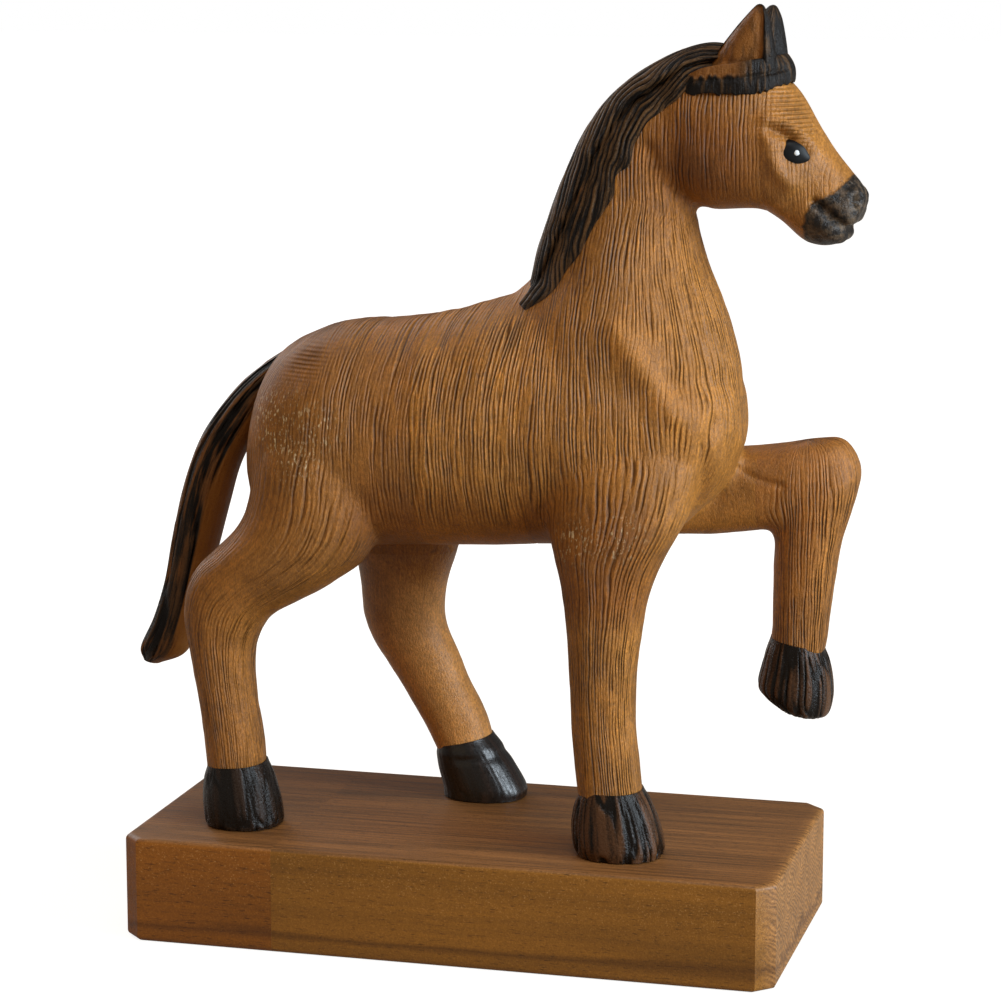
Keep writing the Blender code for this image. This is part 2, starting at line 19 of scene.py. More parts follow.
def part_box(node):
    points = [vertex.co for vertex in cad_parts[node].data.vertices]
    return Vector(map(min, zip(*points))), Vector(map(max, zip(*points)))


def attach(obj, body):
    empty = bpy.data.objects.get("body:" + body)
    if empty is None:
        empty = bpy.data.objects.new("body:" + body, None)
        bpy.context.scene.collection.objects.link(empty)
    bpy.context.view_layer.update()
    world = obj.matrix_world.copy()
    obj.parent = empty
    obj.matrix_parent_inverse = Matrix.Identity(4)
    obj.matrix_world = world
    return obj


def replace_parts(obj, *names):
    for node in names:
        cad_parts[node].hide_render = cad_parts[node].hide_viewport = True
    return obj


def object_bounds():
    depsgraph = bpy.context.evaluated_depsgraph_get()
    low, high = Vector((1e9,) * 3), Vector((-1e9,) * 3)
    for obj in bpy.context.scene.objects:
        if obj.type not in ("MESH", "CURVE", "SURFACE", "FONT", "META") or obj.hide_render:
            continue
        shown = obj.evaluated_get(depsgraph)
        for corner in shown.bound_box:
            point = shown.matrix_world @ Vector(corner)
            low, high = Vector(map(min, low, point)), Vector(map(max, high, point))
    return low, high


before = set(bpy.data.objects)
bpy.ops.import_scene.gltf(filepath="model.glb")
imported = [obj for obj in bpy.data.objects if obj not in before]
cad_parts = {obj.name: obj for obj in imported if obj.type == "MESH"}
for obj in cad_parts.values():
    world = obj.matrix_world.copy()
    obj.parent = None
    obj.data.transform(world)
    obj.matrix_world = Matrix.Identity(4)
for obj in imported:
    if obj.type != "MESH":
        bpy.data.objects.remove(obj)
CAD_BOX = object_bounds()

MM = 0.001
PLINTH_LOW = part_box("plinth_end_block")[0]
PLINTH_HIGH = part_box("plinth_main_block")[1]
PLINTH_JOINT = (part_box("plinth_end_block")[1].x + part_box("plinth_main_block")[0].x) / 2
HORSE_MID_Y = sum(corner.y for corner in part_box("tail")) / 2
DRAWING_ORIGIN = np.array((0, HORSE_MID_Y, PLINTH_HIGH.z)) / MM

# Ribs of the horse: a cross-section whose chord runs from (x1, z1) to (x2, z2) in side view,
# a plain oval on the mid-plane unless it says otherwise
Rib = namedtuple("Rib", "x1 z1 x2 z2 half_width side squareness", defaults=(0, 2))

TRUNK = (
    Rib(-59.5, 103, -60.5, 90, 7),
    Rib(-56, 114.5, -58.5, 80, 15.5),
    Rib(-50.5, 122, -53.5, 74, 21, 0, 2.1),
    Rib(-42.5, 126.3, -46, 71.5, 24, 0, 2.2),
    Rib(-33.5, 129, -35.5, 71, 25.5, 0, 2.3),
    Rib(-21.5, 130, -23.5, 71.5, 25, 0, 2.3),
    Rib(-8.5, 131.8, -8.5, 72.5, 25.5, 0, 2.3),
    Rib(5.5, 136, 5.5, 73, 26, 0, 2.3),
    Rib(19.5, 140, 19.5, 73.8, 25.5, 0, 2.2),
    Rib(32, 138, 36, 74.2, 25, 0, 2.1),
    Rib(44, 134, 48.5, 77, 24),
    Rib(54.5, 129, 57, 84, 21.5),
    Rib(61.5, 124, 63.5, 91, 17),
    Rib(66.4, 117.5, 67.7, 101, 9),
)
NECK = (
    Rib(0, 129, 60, 95, 24),
    Rib(9, 137, 66.6, 115, 23.2),
    Rib(16.5, 145, 64.2, 128.5, 20),
    Rib(21, 157, 59.9, 141, 16.5),
    Rib(26.5, 169.7, 56.5, 150, 14.2),
    Rib(33, 181, 54.7, 158.5, 13),
    Rib(41.5, 189.2, 55.5, 164.5, 12),
    Rib(50.5, 193.7, 59.5, 168.5, 11.5),
)
HEAD = (
    Rib(43.5, 189.7, 49.5, 162.5, 9),
    Rib(51.5, 195.7, 53, 160.4, 12, 0, 2.3),
    Rib(61.5, 195.7, 59.5, 159.3, 13.5, 0, 2.4),
    Rib(71.5, 194.3, 66.5, 159.6, 14, 0, 2.4),
    Rib(78.6, 189.8, 72.3, 159.4, 13, 0, 2.4),
    Rib(84.2, 181.5, 76.3, 157, 11.5, 0, 2.3),
    Rib(89.2, 174.1, 79.6, 154, 10, 0, 2.2),
    Rib(93.6, 168.6, 83, 151.6, 9.2, 0, 2.2),
    Rib(96.4, 165, 88, 150.8, 9.4, 0, 2.2),
    Rib(97.4, 161.5, 93, 152.5, 7.5),
)
MANE = (
    Rib(12.6, 136.2, 15.2, 134.6, 9),
    Rib(13.9, 141, 20.5, 138.3, 13, 0, 2.2),
    Rib(15.8, 150, 27.3, 146.5, 14, 0, 2.2),
    Rib(19.3, 160.3, 31.8, 156, 13.6, 0, 2.2),
    Rib(23.7, 171.3, 36.3, 164, 13.2, 0, 2.2),
    Rib(29.7, 182.1, 40.3, 172.5, 12.8, 0, 2.2),
    Rib(37.5, 190.1, 45.5, 180.5, 12.2, 0, 2.2),
    Rib(46.5, 195.6, 51.3, 186.4, 11.6, 0, 2.2),
    Rib(54.5, 198.8, 56.5, 189.5, 11, 0, 2.2),
    Rib(60.5, 199.4, 62, 191, 9, 0, 2.2),
    Rib(66.5, 197.6, 67, 191, 7, 0, 2.2),
    Rib(71, 195, 71.2, 191, 5, 0, 2.2),
)
RIGHT_EAR = (
    Rib(58.2, 192.5, 75.8, 192, 5.2, -6.5, 2),
    Rib(61.2, 198, 75.4, 197.2, 4.9, -6.8, 2),
    Rib(65, 203, 74.6, 202, 4.1, -7.2, 2),
    Rib(68.3, 206.8, 73.7, 206, 2.9, -7.4, 2),
    Rib(70.4, 208.9, 72.6, 208.5, 1.3, -7.5, 2),
    Rib(71.3, 209.3, 71.9, 209.2, 0.4, -7.5, 2),
)
RIGHT_FORELEG = (
    Rib(60, 112, 18, 106, 12, -8, 2.2),
    Rib(60, 98, 20.5, 93, 13.5, -12.5, 2.2),
    Rib(57, 85, 22, 81, 13, -16, 2.3),
    Rib(51.4, 74.5, 24.3, 74.5, 11.5, -19, 2.3),
    Rib(48.6, 67, 26.3, 67, 10, -20.5, 2.2),
    Rib(46.7, 57, 27.8, 57, 9, -21.5, 2.2),
    Rib(45.5, 45, 28.9, 45, 8.4, -22, 2.2),
    Rib(45.3, 33, 29.5, 33, 8.2, -22, 2.2),
    Rib(46.3, 23, 30.1, 23, 8.2, -22, 2.2),
    Rib(47.2, 13.5, 31.2, 13.5, 8.2, -22, 2.2),
)
RIGHT_FORE_HOOF = (
    Rib(47.8, 16.8, 31.2, 16.8, 8.8, -22, 2.2),
    Rib(51.2, 9, 29.6, 9, 10, -22, 2.2),
    Rib(52.8, 3, 29.8, 3, 10.6, -22, 2.2),
    Rib(52.6, 0.3, 31, 0.3, 10.4, -22, 2.2),
)
RIGHT_HIND_LEG = (
    Rib(-20, 104, -52.5, 107, 14, -8, 2.2),
    Rib(-21, 93, -55.5, 97, 15, -11, 2.2),
    Rib(-22, 80.5, -57, 85, 14.5, -13, 2.2),
    Rib(-26, 70.5, -60, 77, 13, -15.5, 2.2),
    Rib(-34, 64, -65, 71.5, 11.5, -17.5, 2.2),
    Rib(-42.5, 59.2, -69.7, 67, 10, -18.5, 2.2),
    Rib(-50, 55, -72.5, 60.5, 9, -19.2, 2.2),
    Rib(-53.8, 49, -73, 52, 8.5, -19.5, 2.2),
    Rib(-55, 42, -71.3, 43, 8.3, -19.5, 2.2),
    Rib(-54.4, 33, -69.5, 33, 8.2, -19.5, 2.2),
    Rib(-53, 23, -68.2, 23, 8.2, -19.5, 2.2),
    Rib(-52.3, 13.5, -67.3, 13, 8.2, -19.5, 2.2),
)
RIGHT_HIND_HOOF = (
    Rib(-51.7, 16.6, -67.8, 15.6, 8.8, -19.5, 2.2),
    Rib(-49, 8, -68.7, 8, 9.3, -19.5, 2.2),
    Rib(-48, 2, -68.3, 2, 9.6, -19.5, 2.2),
    Rib(-48.3, 0.3, -67.8, 0.3, 9.4, -19.5, 2.2),
)
LEFT_HIND_LEG = (
    Rib(-9, 97, -43, 99, 11, 8, 2.2),
    Rib(-8.5, 83, -42, 84, 12, 12, 2.2),
    Rib(-9, 75, -40.3, 74, 11.5, 14.5, 2.2),
    Rib(-11, 68, -38.5, 65, 10.5, 16.5, 2.2),
    Rib(-14.4, 59, -37.8, 57, 9.5, 18.5, 2.2),
    Rib(-15.8, 51.5, -37.5, 49, 9, 20, 2.2),
    Rib(-15.2, 45, -35.8, 42.5, 8.6, 21, 2.2),
    Rib(-12.5, 38.5, -31.6, 35.5, 8.2, 21.5, 2.2),
    Rib(-9.2, 30.5, -26.4, 27.5, 8, 22, 2.2),
    Rib(-5.2, 22.5, -21, 18.5, 7.8, 22, 2.2),
    Rib(-2.6, 14, -17.4, 11.5, 7.8, 22, 2.2),
)
LEFT_HIND_HOOF = (
    Rib(-2.8, 16.9, -18.3, 13.7, 8.6, 22, 2.2),
    Rib(2.5, 9, -17.6, 8, 8.9, 22, 2.2),
    Rib(6, 3, -16.3, 3, 9.2, 22, 2.2),
    Rib(5.9, 0.3, -16, 0.3, 9.1, 22, 2.2),
)
RAISED_FORELEG = (
    Rib(40, 102, 42, 76, 7, 9, 2.4),
    Rib(49, 99, 50, 75, 8.5, 14, 2.5),
    Rib(56.5, 97.2, 56.5, 74.8, 9.5, 17, 2.6),
    Rib(65.5, 97.3, 65, 75.8, 9.5, 18, 2.8),
    Rib(75.5, 98.8, 71.2, 76.6, 9.3, 18, 2.8),
    Rib(83.5, 100.3, 72.5, 75.6, 9.2, 18, 2.6),
    Rib(90.3, 100, 72.7, 74.5, 9, 18, 2.4),
    Rib(94.2, 93.2, 72.7, 72.8, 9, 18, 2.4),
    Rib(92.9, 85, 72.6, 69, 8.8, 18, 2.4),
    Rib(90, 75, 72.6, 63.4, 8.5, 18, 2.4),
    Rib(88.3, 65, 72.5, 58.4, 8.2, 18, 2.4),
    Rib(87, 55.2, 72.4, 52.4, 8, 18, 2.4),
    Rib(85.8, 44.4, 71.8, 47, 7.8, 18, 2.4),
)
RAISED_HOOF = (
    Rib(85.9, 46.8, 71.6, 49.2, 8.6, 18, 2.2),
    Rib(87.8, 39.5, 69.8, 41.8, 9.3, 18, 2.2),
    Rib(88.2, 33.6, 68.8, 36.6, 9.8, 18, 2.2),
    Rib(87.2, 29.3, 70.4, 34, 9.3, 18, 2.2),
    Rib(85.4, 28.2, 74, 31, 7.6, 18, 2),
)
TAIL = (
    Rib(-46.5, 124, -52.5, 113.5, 7),
    Rib(-58.7, 116.3, -55.5, 107.5, 7),
    Rib(-67.4, 108, -60, 99.5, 7.2),
    Rib(-75.8, 96, -65, 90, 7.4),
    Rib(-80.8, 82.2, -68.2, 79.5, 7.4),
    Rib(-83.6, 69.7, -71, 69.5, 7.2),
    Rib(-85.8, 58.7, -74.5, 57, 6.8),
    Rib(-89.2, 48.6, -77.5, 46.2, 6.3),
    Rib(-93, 40.6, -81, 39.1, 5.4),
    Rib(-92.4, 37, -88, 36, 2.6),
)

# Limbs whose carved lines run along them
LIMBS = (NECK, RIGHT_FORELEG, RIGHT_HIND_LEG, LEFT_HIND_LEG, RAISED_FORELEG)

# Edges of the forelock's band round the right of the forehead: a place on the lower and on the upper one
FORELOCK_EDGES = (
    (51, -10.2, 187.6, 52, -9, 191.4), (54.9, -12, 187.8, 55.5, -10.4, 193.4),
    (60.5, -12.7, 187.8, 60.5, -11.3, 194.7), (66.1, -12.9, 187.8, 65.8, -11.8, 195.3),
    (70.2, -12.4, 188, 69.9, -11.3, 196.1), (73.1, -11.2, 188.5, 72.6, -9.6, 196.5),
    (76.1, -8.3, 189.5, 74.6, -7, 196.8), (77.8, -4.3, 190.1, 75.7, -3.6, 197),
    (78.3, 0, 190.3, 76.1, 0, 197),
)

# Boards by number, in the order of BOARDS
RUMP, LOIN, BARREL, SHOULDER, FACE, RAISED, LEFT_HIND = range(7)

# Glue lines between the boards: stations along the drawing, or a height
HIND_SEAM = -25
LOIN_SEAM = -12
SHOULDER_SEAM = 16
FACE_SEAM = 73
FACE_SEAM_FOOT = 140
RAISED_SEAM = 69
RAISED_SEAM_HEAD = 110
LEFT_HIND_SEAM = 67
LEFT_HIND_REACH = (-47, 14)

# Fineness of the carved form: its voxels in mm, rounds of fairing, steps per rib and points round it
FORM_VOXEL = 1.09
FORM_FAIRING = 6
RIB_STEPS = 8
RIB_POINTS = 64

# Carved lines: pitch across and length along
GOUGE_PITCH = 1.0
GOUGE_LENGTH = 34
FLUTE_PITCH = 2.6

# Steps from limb to limb that keep the patterns of their lines and of their flutes apart
LINE_STEP = 400
FLUTE_STEP = 500

# Round ends of the trunk in plan, where the lines follow its skin: stations of their middles and
# their radius
CHEST_MIDDLE = 38
RUMP_MIDDLE = -36
PLAN_RADIUS = 24

# Axis and radius of the raised leg's shank in plan
SHANK = (80, 18)
SHANK_RADIUS = 11

# Places left smoother by the carver: path, breadth and how much less is cut there
SMOOTH_PLACES = (
    (((44, -21.5, 128), (49.8, -20.8, 120.9), (57.2, -20.1, 110.3)), 4.5, 0.8),
    (((62, -15, 90), (66, -10, 98)), 10, 0.75),
    (((62, -12, 130), (67, -6, 118), (68, -4, 106)), 8, 0.15),
    (((-25.5, -26, 80), (-24.5, -24, 100), (-24, -18, 122)), 3.1, 1.0),
    (((-48, -26, 72), (-60, -26, 64)), 12, 0.75),
    (((-56, -27, 46), (-55, -27, 20)), 5, 0.85),
    (((40, -31, 70), (45, -29, 84)), 5, 0.35),
    (((50, 10, 88), (66, 9, 90), (80, 9, 98), (92, 10, 99)), 10, 0.93),
    (((50, 12, 80), (67, 9, 80)), 8, 0.9),
    (((-48, -18, 112), (-42, -16, 122)), 11, 0.7),
    (((52, -8, 152), (60, -10, 140), (65, -8, 125)), 7, 0.15),
    (((58, -13, 174), (70, -13, 166)), 10, 0.6),
    (((-50, -21, 103), (-46, -22, 106)), 7, 0.8),
    (((-34, -26, 88), (-44, -27, 78)), 10, 0.25),
)

# Patches of fine ribs across the grain: middle and breadth
RIB_PATCHES = (((-40, -15, 119.5), 5), ((80.5, -8, 184), 6))

# Details cut into the form: their paths or spots on the right side
SHOULDER_RIDGE = ((40, -22, 131), (43.9, -22, 125.1), (47, -21.6, 120.4), (54, -21, 110.3))
SHOULDER_HOLLOW = ((33, -23.4, 127), (37.5, -23.3, 120.5), (42.5, -22.8, 113), (46, -22.5, 107))
BREAST_CREASE = ((62.5, -15.5, 108), (61, -18, 102.8), (60.8, -14.9, 95.4), (58, -9, 88))
JAW_CREASE = ((44.5, -12.3, 174.9), (46.5, -12.4, 171.8), (48.2, -11.9, 168.2), (49.8, -10.9, 165.2),
              (51.9, -9.2, 163.2), (54, -7.3, 161.8), (55.7, -3.5, 159.6))
JOWL = ((57, -13.3, 172), (60, -13.5, 170))
BROW_CREASE = ((75.4, -12.9, 179.6), (77.2, -12.3, 179.2), (78.8, -11.8, 178.4), (80.2, -11.1, 177.5))
BROW_RIDGE = ((74.5, -12.9, 182.2), (78.5, -11.4, 181.2), (82, -9.6, 178.8), (84.6, -8.4, 175.8))
EYE = (81.5, -10.8, 174.2)
CHEEK_BONE = ((74.6, -12.9, 178.5), (75.6, -12.9, 174), (77.2, -12.2, 169.6), (80.2, -11, 166.4))
CHEEK_HOLLOW = ((80, -11, 161.5), (83.5, -10, 166), (86.5, -9.2, 168.5))
NOSTRIL = (95.7, -5.4, 162.4)
NOSTRIL_RIM = ((93.8, -7, 164), (95.6, -5.6, 164.6), (96.9, -4, 163.4))
MOUTH = ((85.9, -9.5, 162), (87.1, -9.3, 161.4), (88.8, -9.1, 160), (90.2, -9.1, 158.4), (92.4, -8.8, 156.9),
         (93.9, -5.9, 155.4), (94.6, 0, 155))
LOWER_LIP = ((86.5, -9, 157.4), (89, -8.2, 155), (91.5, -5, 153))
FOREARM_ARC = ((64.5, 8.6, 93.5), (66.5, 8.8, 92.2), (68.7, 9.2, 90.9), (71.9, 8.8, 90.1), (76, 8.9, 89))

# Edge of the muzzle's paint in side view: stations at rising heights
MUZZLE_EDGE_X = (81.6, 82.6, 83.4, 84.7, 87.1, 90.1, 92.1, 93.7, 97)
MUZZLE_EDGE_Z = (150, 155.2, 158.5, 161.5, 163, 164.4, 166.5, 168.3, 170)

# Patches where pale wax stayed in the carving
WAX_PATCHES = ((-53, -19, 108), (-45, -22.5, 109), (-49, -22.5, 102), (-41.5, -25, 96), (-35, -24.5, 105),
               (29.5, -30, 80), (43, -31, 82))


def fair(ribs, steps):
    """Ribs at a number of steps per span, on Catmull-Rom curves through the given ones."""
    rows = np.array(ribs, float)
    rows = np.vstack((2 * rows[0] - rows[1], rows, 2 * rows[-1] - rows[-2]))
    stations = np.linspace(0, len(ribs) - 1, (len(ribs) - 1) * steps + 1)
    span = np.minimum(stations.astype(int), len(ribs) - 2)
    t = (stations - span)[:, None]
    a, b, c, d = (rows[span + k] for k in range(4))
    bend = (2 * a - 5 * b + 4 * c - d) * t ** 2 + (3 * b - a - 3 * c + d) * t ** 3
    return (2 * b + (c - a) * t + bend) / 2


def together(*parts):
    """Arrays stretched to one shape and set side by side along a new last axis."""
    return np.stack(np.broadcast_arrays(*parts), -1)


def around(count):
    """Angles at even steps round a full turn."""
    return np.linspace(0, 2 * math.pi, count, endpoint=False)


def power(values, exponent):
    """Signed power, which makes a superellipse of a circle's sine and cosine."""
    return np.sign(values) * np.abs(values) ** exponent


def skin(ribs, steps, points):
    """Grid of points over a rib row: each section is a superellipse, cos along its chord and sin across."""
    x1, z1, x2, z2, half_width, side, squareness = fair(ribs, steps).T[:, :, None]
    turn = around(points)
    along = power(np.cos(turn), 2 / squareness)
    across = power(np.sin(turn), 2 / squareness)
    x = (x1 + x2) / 2 + (x1 - x2) / 2 * along
    z = (z1 + z2) / 2 + (z1 - z2) / 2 * along
    return np.stack((x, side + half_width * across, z), -1)


def tube_faces(rings, count):
    """Quads between neighbouring rings of a closed grid, as one array of corner numbers."""
    ring, k = np.meshgrid(np.arange(rings - 1), np.arange(count), indexing="ij")
    here = ring * count + k
    beside = ring * count + (k + 1) % count
    return np.stack((here, beside, beside + count, here + count), -1).reshape(-1, 4)


def capped_tube(grid):
    """Points and faces of a closed grid of rings, its two ends filled."""
    rings, count = grid.shape[:2]
    faces = tube_faces(rings, count).tolist()
    faces += [list(range(count))[::-1], list(range((rings - 1) * count, rings * count))]
    return grid.reshape(-1, 3), faces


def new_mesh(name, points, faces):
    """Mesh of drawing points, moved to the frame's place and metres."""
    mesh = bpy.data.meshes.new(name)
    mesh.from_pydata(((points + DRAWING_ORIGIN) * MM).tolist(), [], faces)
    mesh.update()
    return mesh


def add_attribute(mesh, name, values):
    """Store one vector per point for the materials."""
    layer = mesh.attributes.new(name, "FLOAT_VECTOR", "POINT")
    layer.data.foreach_set("vector", values.astype(np.float32).ravel())


def finish_mesh(mesh, crease):
    """Close open rims, turn faces outwards, and shade smooth but for edges of more than crease degrees."""
    work = bmesh.new()
    work.from_mesh(mesh)
    rims = [edge for edge in work.edges if edge.is_boundary]
    bmesh.ops.holes_fill(work, edges=rims, sides=0)
    bmesh.ops.recalc_face_normals(work, faces=work.faces)
    work.to_mesh(mesh)
    work.free()
    mesh.shade_smooth()
    mesh.set_sharp_from_angle(angle=math.radians(crease))


def add_piece(mesh, material):
    """Put a mesh in the scene as a piece of the horse."""
    piece = bpy.data.objects.new(mesh.name, mesh)
    bpy.context.scene.collection.objects.link(piece)
    mesh.materials.append(material)
    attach(piece, "root")
    return piece


def hashed_noise(points, seed):
    """Value noise: hashed numbers on the corners of a unit lattice, blended by smoothstep; about -1 to 1."""
    cell = np.floor(points).astype(np.int64)
    t = points - cell
    t = t * t * (3 - 2 * t)
    total = np.zeros(points.shape[:-1])
    for corner in itertools.product((0, 1), repeat=3):
        key = ((cell + corner) * (73856093, 19349663, 83492791)).sum(-1) + seed * 7919
        key = ((key ^ (key >> 13)) * 1274126177) & 0x7FFFFFFF
        key = ((key ^ (key >> 15)) * 69069) & 0x7FFFFFFF
        value = ((key >> 8) & 0xFFFF) / 0x7FFF - 1
        total += value * np.prod(np.where(corner, t, 1 - t), axis=-1)
    return total


def smoothstep(values, low, high):
    """0 below low, 1 above high, an S-curve between."""
    t = np.clip((values - low) / (high - low), 0, 1)
    return t * t * (3 - 2 * t)


def distance_to(points, path):
    """Distance of every point from the nearest of a path's straight spans."""
    path = np.atleast_2d(np.array(path, float))
    if len(path) == 1:
        return np.linalg.norm(points - path[0], axis=1)
    nearest = np.full(len(points), np.inf)
    for start, end in zip(path[:-1], path[1:]):
        span = end - start
        share = np.clip((points - start) @ span / (span @ span), 0, 1)
        nearest = np.minimum(nearest, np.linalg.norm(points - start - share[:, None] * span, axis=1))
    return nearest


def swell(points, path, height, breadth, both_sides=True):
    """Bell-shaped ridge, or hollow, along a path, repeated on the other side of the mid-plane."""
    distance = distance_to(points, path)
    if both_sides:
        distance = np.minimum(distance, distance_to(points * (1, -1, 1), path))
    return height * np.exp(-(distance / breadth) ** 2)


def limb_frame(points, ribs):
    """Where points lie on a limb: reach (1 on its skin), and arc round it and length along it in mm.

    A point sits between two neighbouring chords, by its signed distances from them. Its place along
    that chord and across the section give the angle, and the angle times the mean radius the arc."""
    rows = fair(ribs, RIB_STEPS)
    first, second = rows[:, 0:2], rows[:, 2:4]
    middle = (first + second) / 2
    chord = first - second
    normal = np.stack((chord[:, 1], -chord[:, 0]), -1) / np.linalg.norm(chord, axis=1)[:, None]
    normal *= np.sign(np.sum(normal * np.gradient(middle, axis=0), axis=1))[:, None]
    flat = points[:, [0, 2]]
    ahead = flat @ normal.T - np.sum(first * normal, axis=1)
    away = np.linalg.norm(flat[:, None] - middle[None, :-1], axis=2)
    between = (ahead[:, :-1] >= 0) & (ahead[:, 1:] < 0)
    station = np.argmin(np.where(between, away, away + 1000), axis=1)
    pick = np.arange(len(points))
    before, after = ahead[pick, station], ahead[pick, station + 1]
    share = np.clip(before / np.where(before == after, 1, before - after), 0, 1)
    row = rows[station] * (1 - share)[:, None] + rows[station + 1] * share[:, None]
    half = (row[:, 0:2] - row[:, 2:4]) / 2
    size = np.linalg.norm(half, axis=1)
    along = np.sum((flat - (row[:, 0:2] + row[:, 2:4]) / 2) * half, axis=1) / size ** 2
    across = (points[:, 1] - row[:, 5]) / row[:, 4]
    reach = (np.abs(along) ** row[:, 6] + np.abs(across) ** row[:, 6]) ** (1 / row[:, 6])
    off_end = np.maximum(-before, after) / size
    reach += np.maximum(off_end, 0)
    radius = np.mean(np.linalg.norm(chord, axis=1)) / 4 + np.mean(rows[:, 4]) / 2
    steps = np.linalg.norm(np.diff(middle, axis=0), axis=1)
    length = np.concatenate(((0,), np.cumsum(steps)))
    return reach, np.arctan2(across, along) * radius, length[station] + share * steps[station]


def fused_form(rows):
    """Points and quads of several rib rows run into one skin by voxels, faired and halved once."""
    points, faces = [], []
    for row in rows:
        row_points, row_faces = capped_tube(skin(row, RIB_STEPS, RIB_POINTS))
        offset = sum(map(len, points))
        faces += [[corner + offset for corner in face] for face in row_faces]
        points.append(row_points)
    rough = bpy.data.objects.new("rough_form", new_mesh("rough_form", np.vstack(points), faces))
    bpy.context.scene.collection.objects.link(rough)
    fuse = rough.modifiers.new("fuse", "REMESH")
    fuse.mode = "VOXEL"
    fuse.voxel_size = FORM_VOXEL * MM
    fairing = rough.modifiers.new("fair", "SMOOTH")
    fairing.iterations = FORM_FAIRING
    halve = rough.modifiers.new("halve", "SUBSURF")
    halve.levels = halve.render_levels = 1
    mesh = rough.evaluated_get(bpy.context.evaluated_depsgraph_get()).to_mesh()
    points = np.empty(len(mesh.vertices) * 3)
    mesh.vertices.foreach_get("co", points)
    quads = np.empty(len(mesh.loops), int)
    mesh.loops.foreach_get("vertex_index", quads)
    bpy.data.objects.remove(rough)
    return points.reshape(-1, 3) / MM - DRAWING_ORIGIN, quads.reshape(-1, 4)


def normals_of(points, quads):
    """Unit normal at every point: the quads' diagonal products, summed at their corners."""
    a, b, c, d = (points[quads[:, k]] for k in range(4))
    faces = np.cross(c - a, d - b)
    corners = quads.ravel()
    total = np.stack([np.bincount(corners, np.repeat(axis, 4), len(points)) for axis in faces.T], -1)
    return total / np.maximum(np.linalg.norm(total, axis=1), 1e-12)[:, None]


def board_of(middles):
    """Number of the board that each face's middle lies in, in the order of BOARDS."""
    x, side, height = middles.T
    board = np.searchsorted((HIND_SEAM, LOIN_SEAM, SHOULDER_SEAM), x)
    board[(x > FACE_SEAM) & (height > FACE_SEAM_FOOT)] = FACE
    board[(x > RAISED_SEAM) & (height < RAISED_SEAM_HEAD)] = RAISED
    in_reach = (x > LEFT_HIND_REACH[0]) & (x < LEFT_HIND_REACH[1])
    board[(side > 0) & (height < LEFT_HIND_SEAM) & in_reach] = LEFT_HIND
    return board


# Boards of the horse: node, how strongly it was gouged, how narrow the cuts are, and tone
Board = namedtuple("Board", "name node gouging fineness tone")
BOARDS = (
    Board("rump_carving", "hindquarter_block", 1.4, 0.7, "956128"),
    Board("loin_carving", "loin_board", 1.2, 0.65, "98632A"),
    Board("barrel_carving", "barrel_board", 1.7, 0.6, "AC7330"),
    Board("shoulder_and_neck_carving", "forequarter_block", 1.45, 1.2, "9D6729"),
    Board("face_carving", "face_block", 0.4, 1.1, "9F6A2E"),
    Board("raised_foreleg_carving", "raised_foreleg", 1.6, 0.9, "986229"),
    Board("left_hind_leg_carving", "left_hind_leg", 0.25, 1.2, "A6723B"),
)

# Glue planes: boards on one side, boards on the other, axis, station, and how open the joint shows
Seam = namedtuple("Seam", "one other axis station open")
SEAMS = (
    Seam((RUMP,), (LOIN, BARREL, SHOULDER), 0, HIND_SEAM, 0.5),
    Seam((RUMP, LOIN), (BARREL, SHOULDER), 0, LOIN_SEAM, 1),
    Seam((RUMP, LOIN, BARREL), (SHOULDER,), 0, SHOULDER_SEAM, 0.8),
    Seam((FACE,), (SHOULDER,), 0, FACE_SEAM, 0.8),
    Seam((RAISED,), (SHOULDER,), 0, RAISED_SEAM, 0.1),
    Seam((LEFT_HIND,), (RUMP, LOIN, BARREL), 2, LEFT_HIND_SEAM, 0.1),
)


def to_glue_planes(points, quads, board):
    """Move the points that two boards share on to their glue plane, and tell which planes they are on."""
    planes = np.zeros((len(points), len(SEAMS)), bool)
    for number, seam in enumerate(SEAMS):
        shared = np.intersect1d(quads[np.isin(board, seam.one)], quads[np.isin(board, seam.other)])
        points[shared, seam.axis] = seam.station
        planes[shared, number] = True
    return planes


def trunk_flow(points):
    """Distance across the trunk's carved lines, in mm: x along the flanks and the arc round chest and rump.

    The lines lean forward towards the back's top and part round the shoulder's ridge."""
    x, side, height = points.T
    ahead, behind = np.maximum(x - CHEST_MIDDLE, 0), np.maximum(RUMP_MIDDLE - x, 0)
    away = np.abs(side) + 1e-6
    across = np.clip(x, RUMP_MIDDLE, CHEST_MIDDLE)
    across += PLAN_RADIUS * (np.arctan2(ahead, away) - np.arctan2(behind, away))
    straight = smoothstep(side, 3, 9) * smoothstep(x, 48, 57) * smoothstep(-height, -110, -100)
    across += (x - across) * np.maximum(straight, smoothstep(height, 148, 160))
    lean = smoothstep(-x, -30, -8) * smoothstep(-height, -150, -140)
    across -= 0.004 * lean * np.maximum(height - 100, 0) ** 2
    ridge = np.interp(height, (107, 130), (59, 43))
    near = smoothstep(height, 90, 112) * smoothstep(-height, -146, -128)
    off = x - ridge
    return across - 0.22 * off * np.exp(-(off / 11) ** 2) * near


def shank_turn(points):
    """Angle round the raised leg's upright shank, from its front."""
    return np.arctan2(points[:, 1] - SHANK[1], points[:, 0] - SHANK[0])


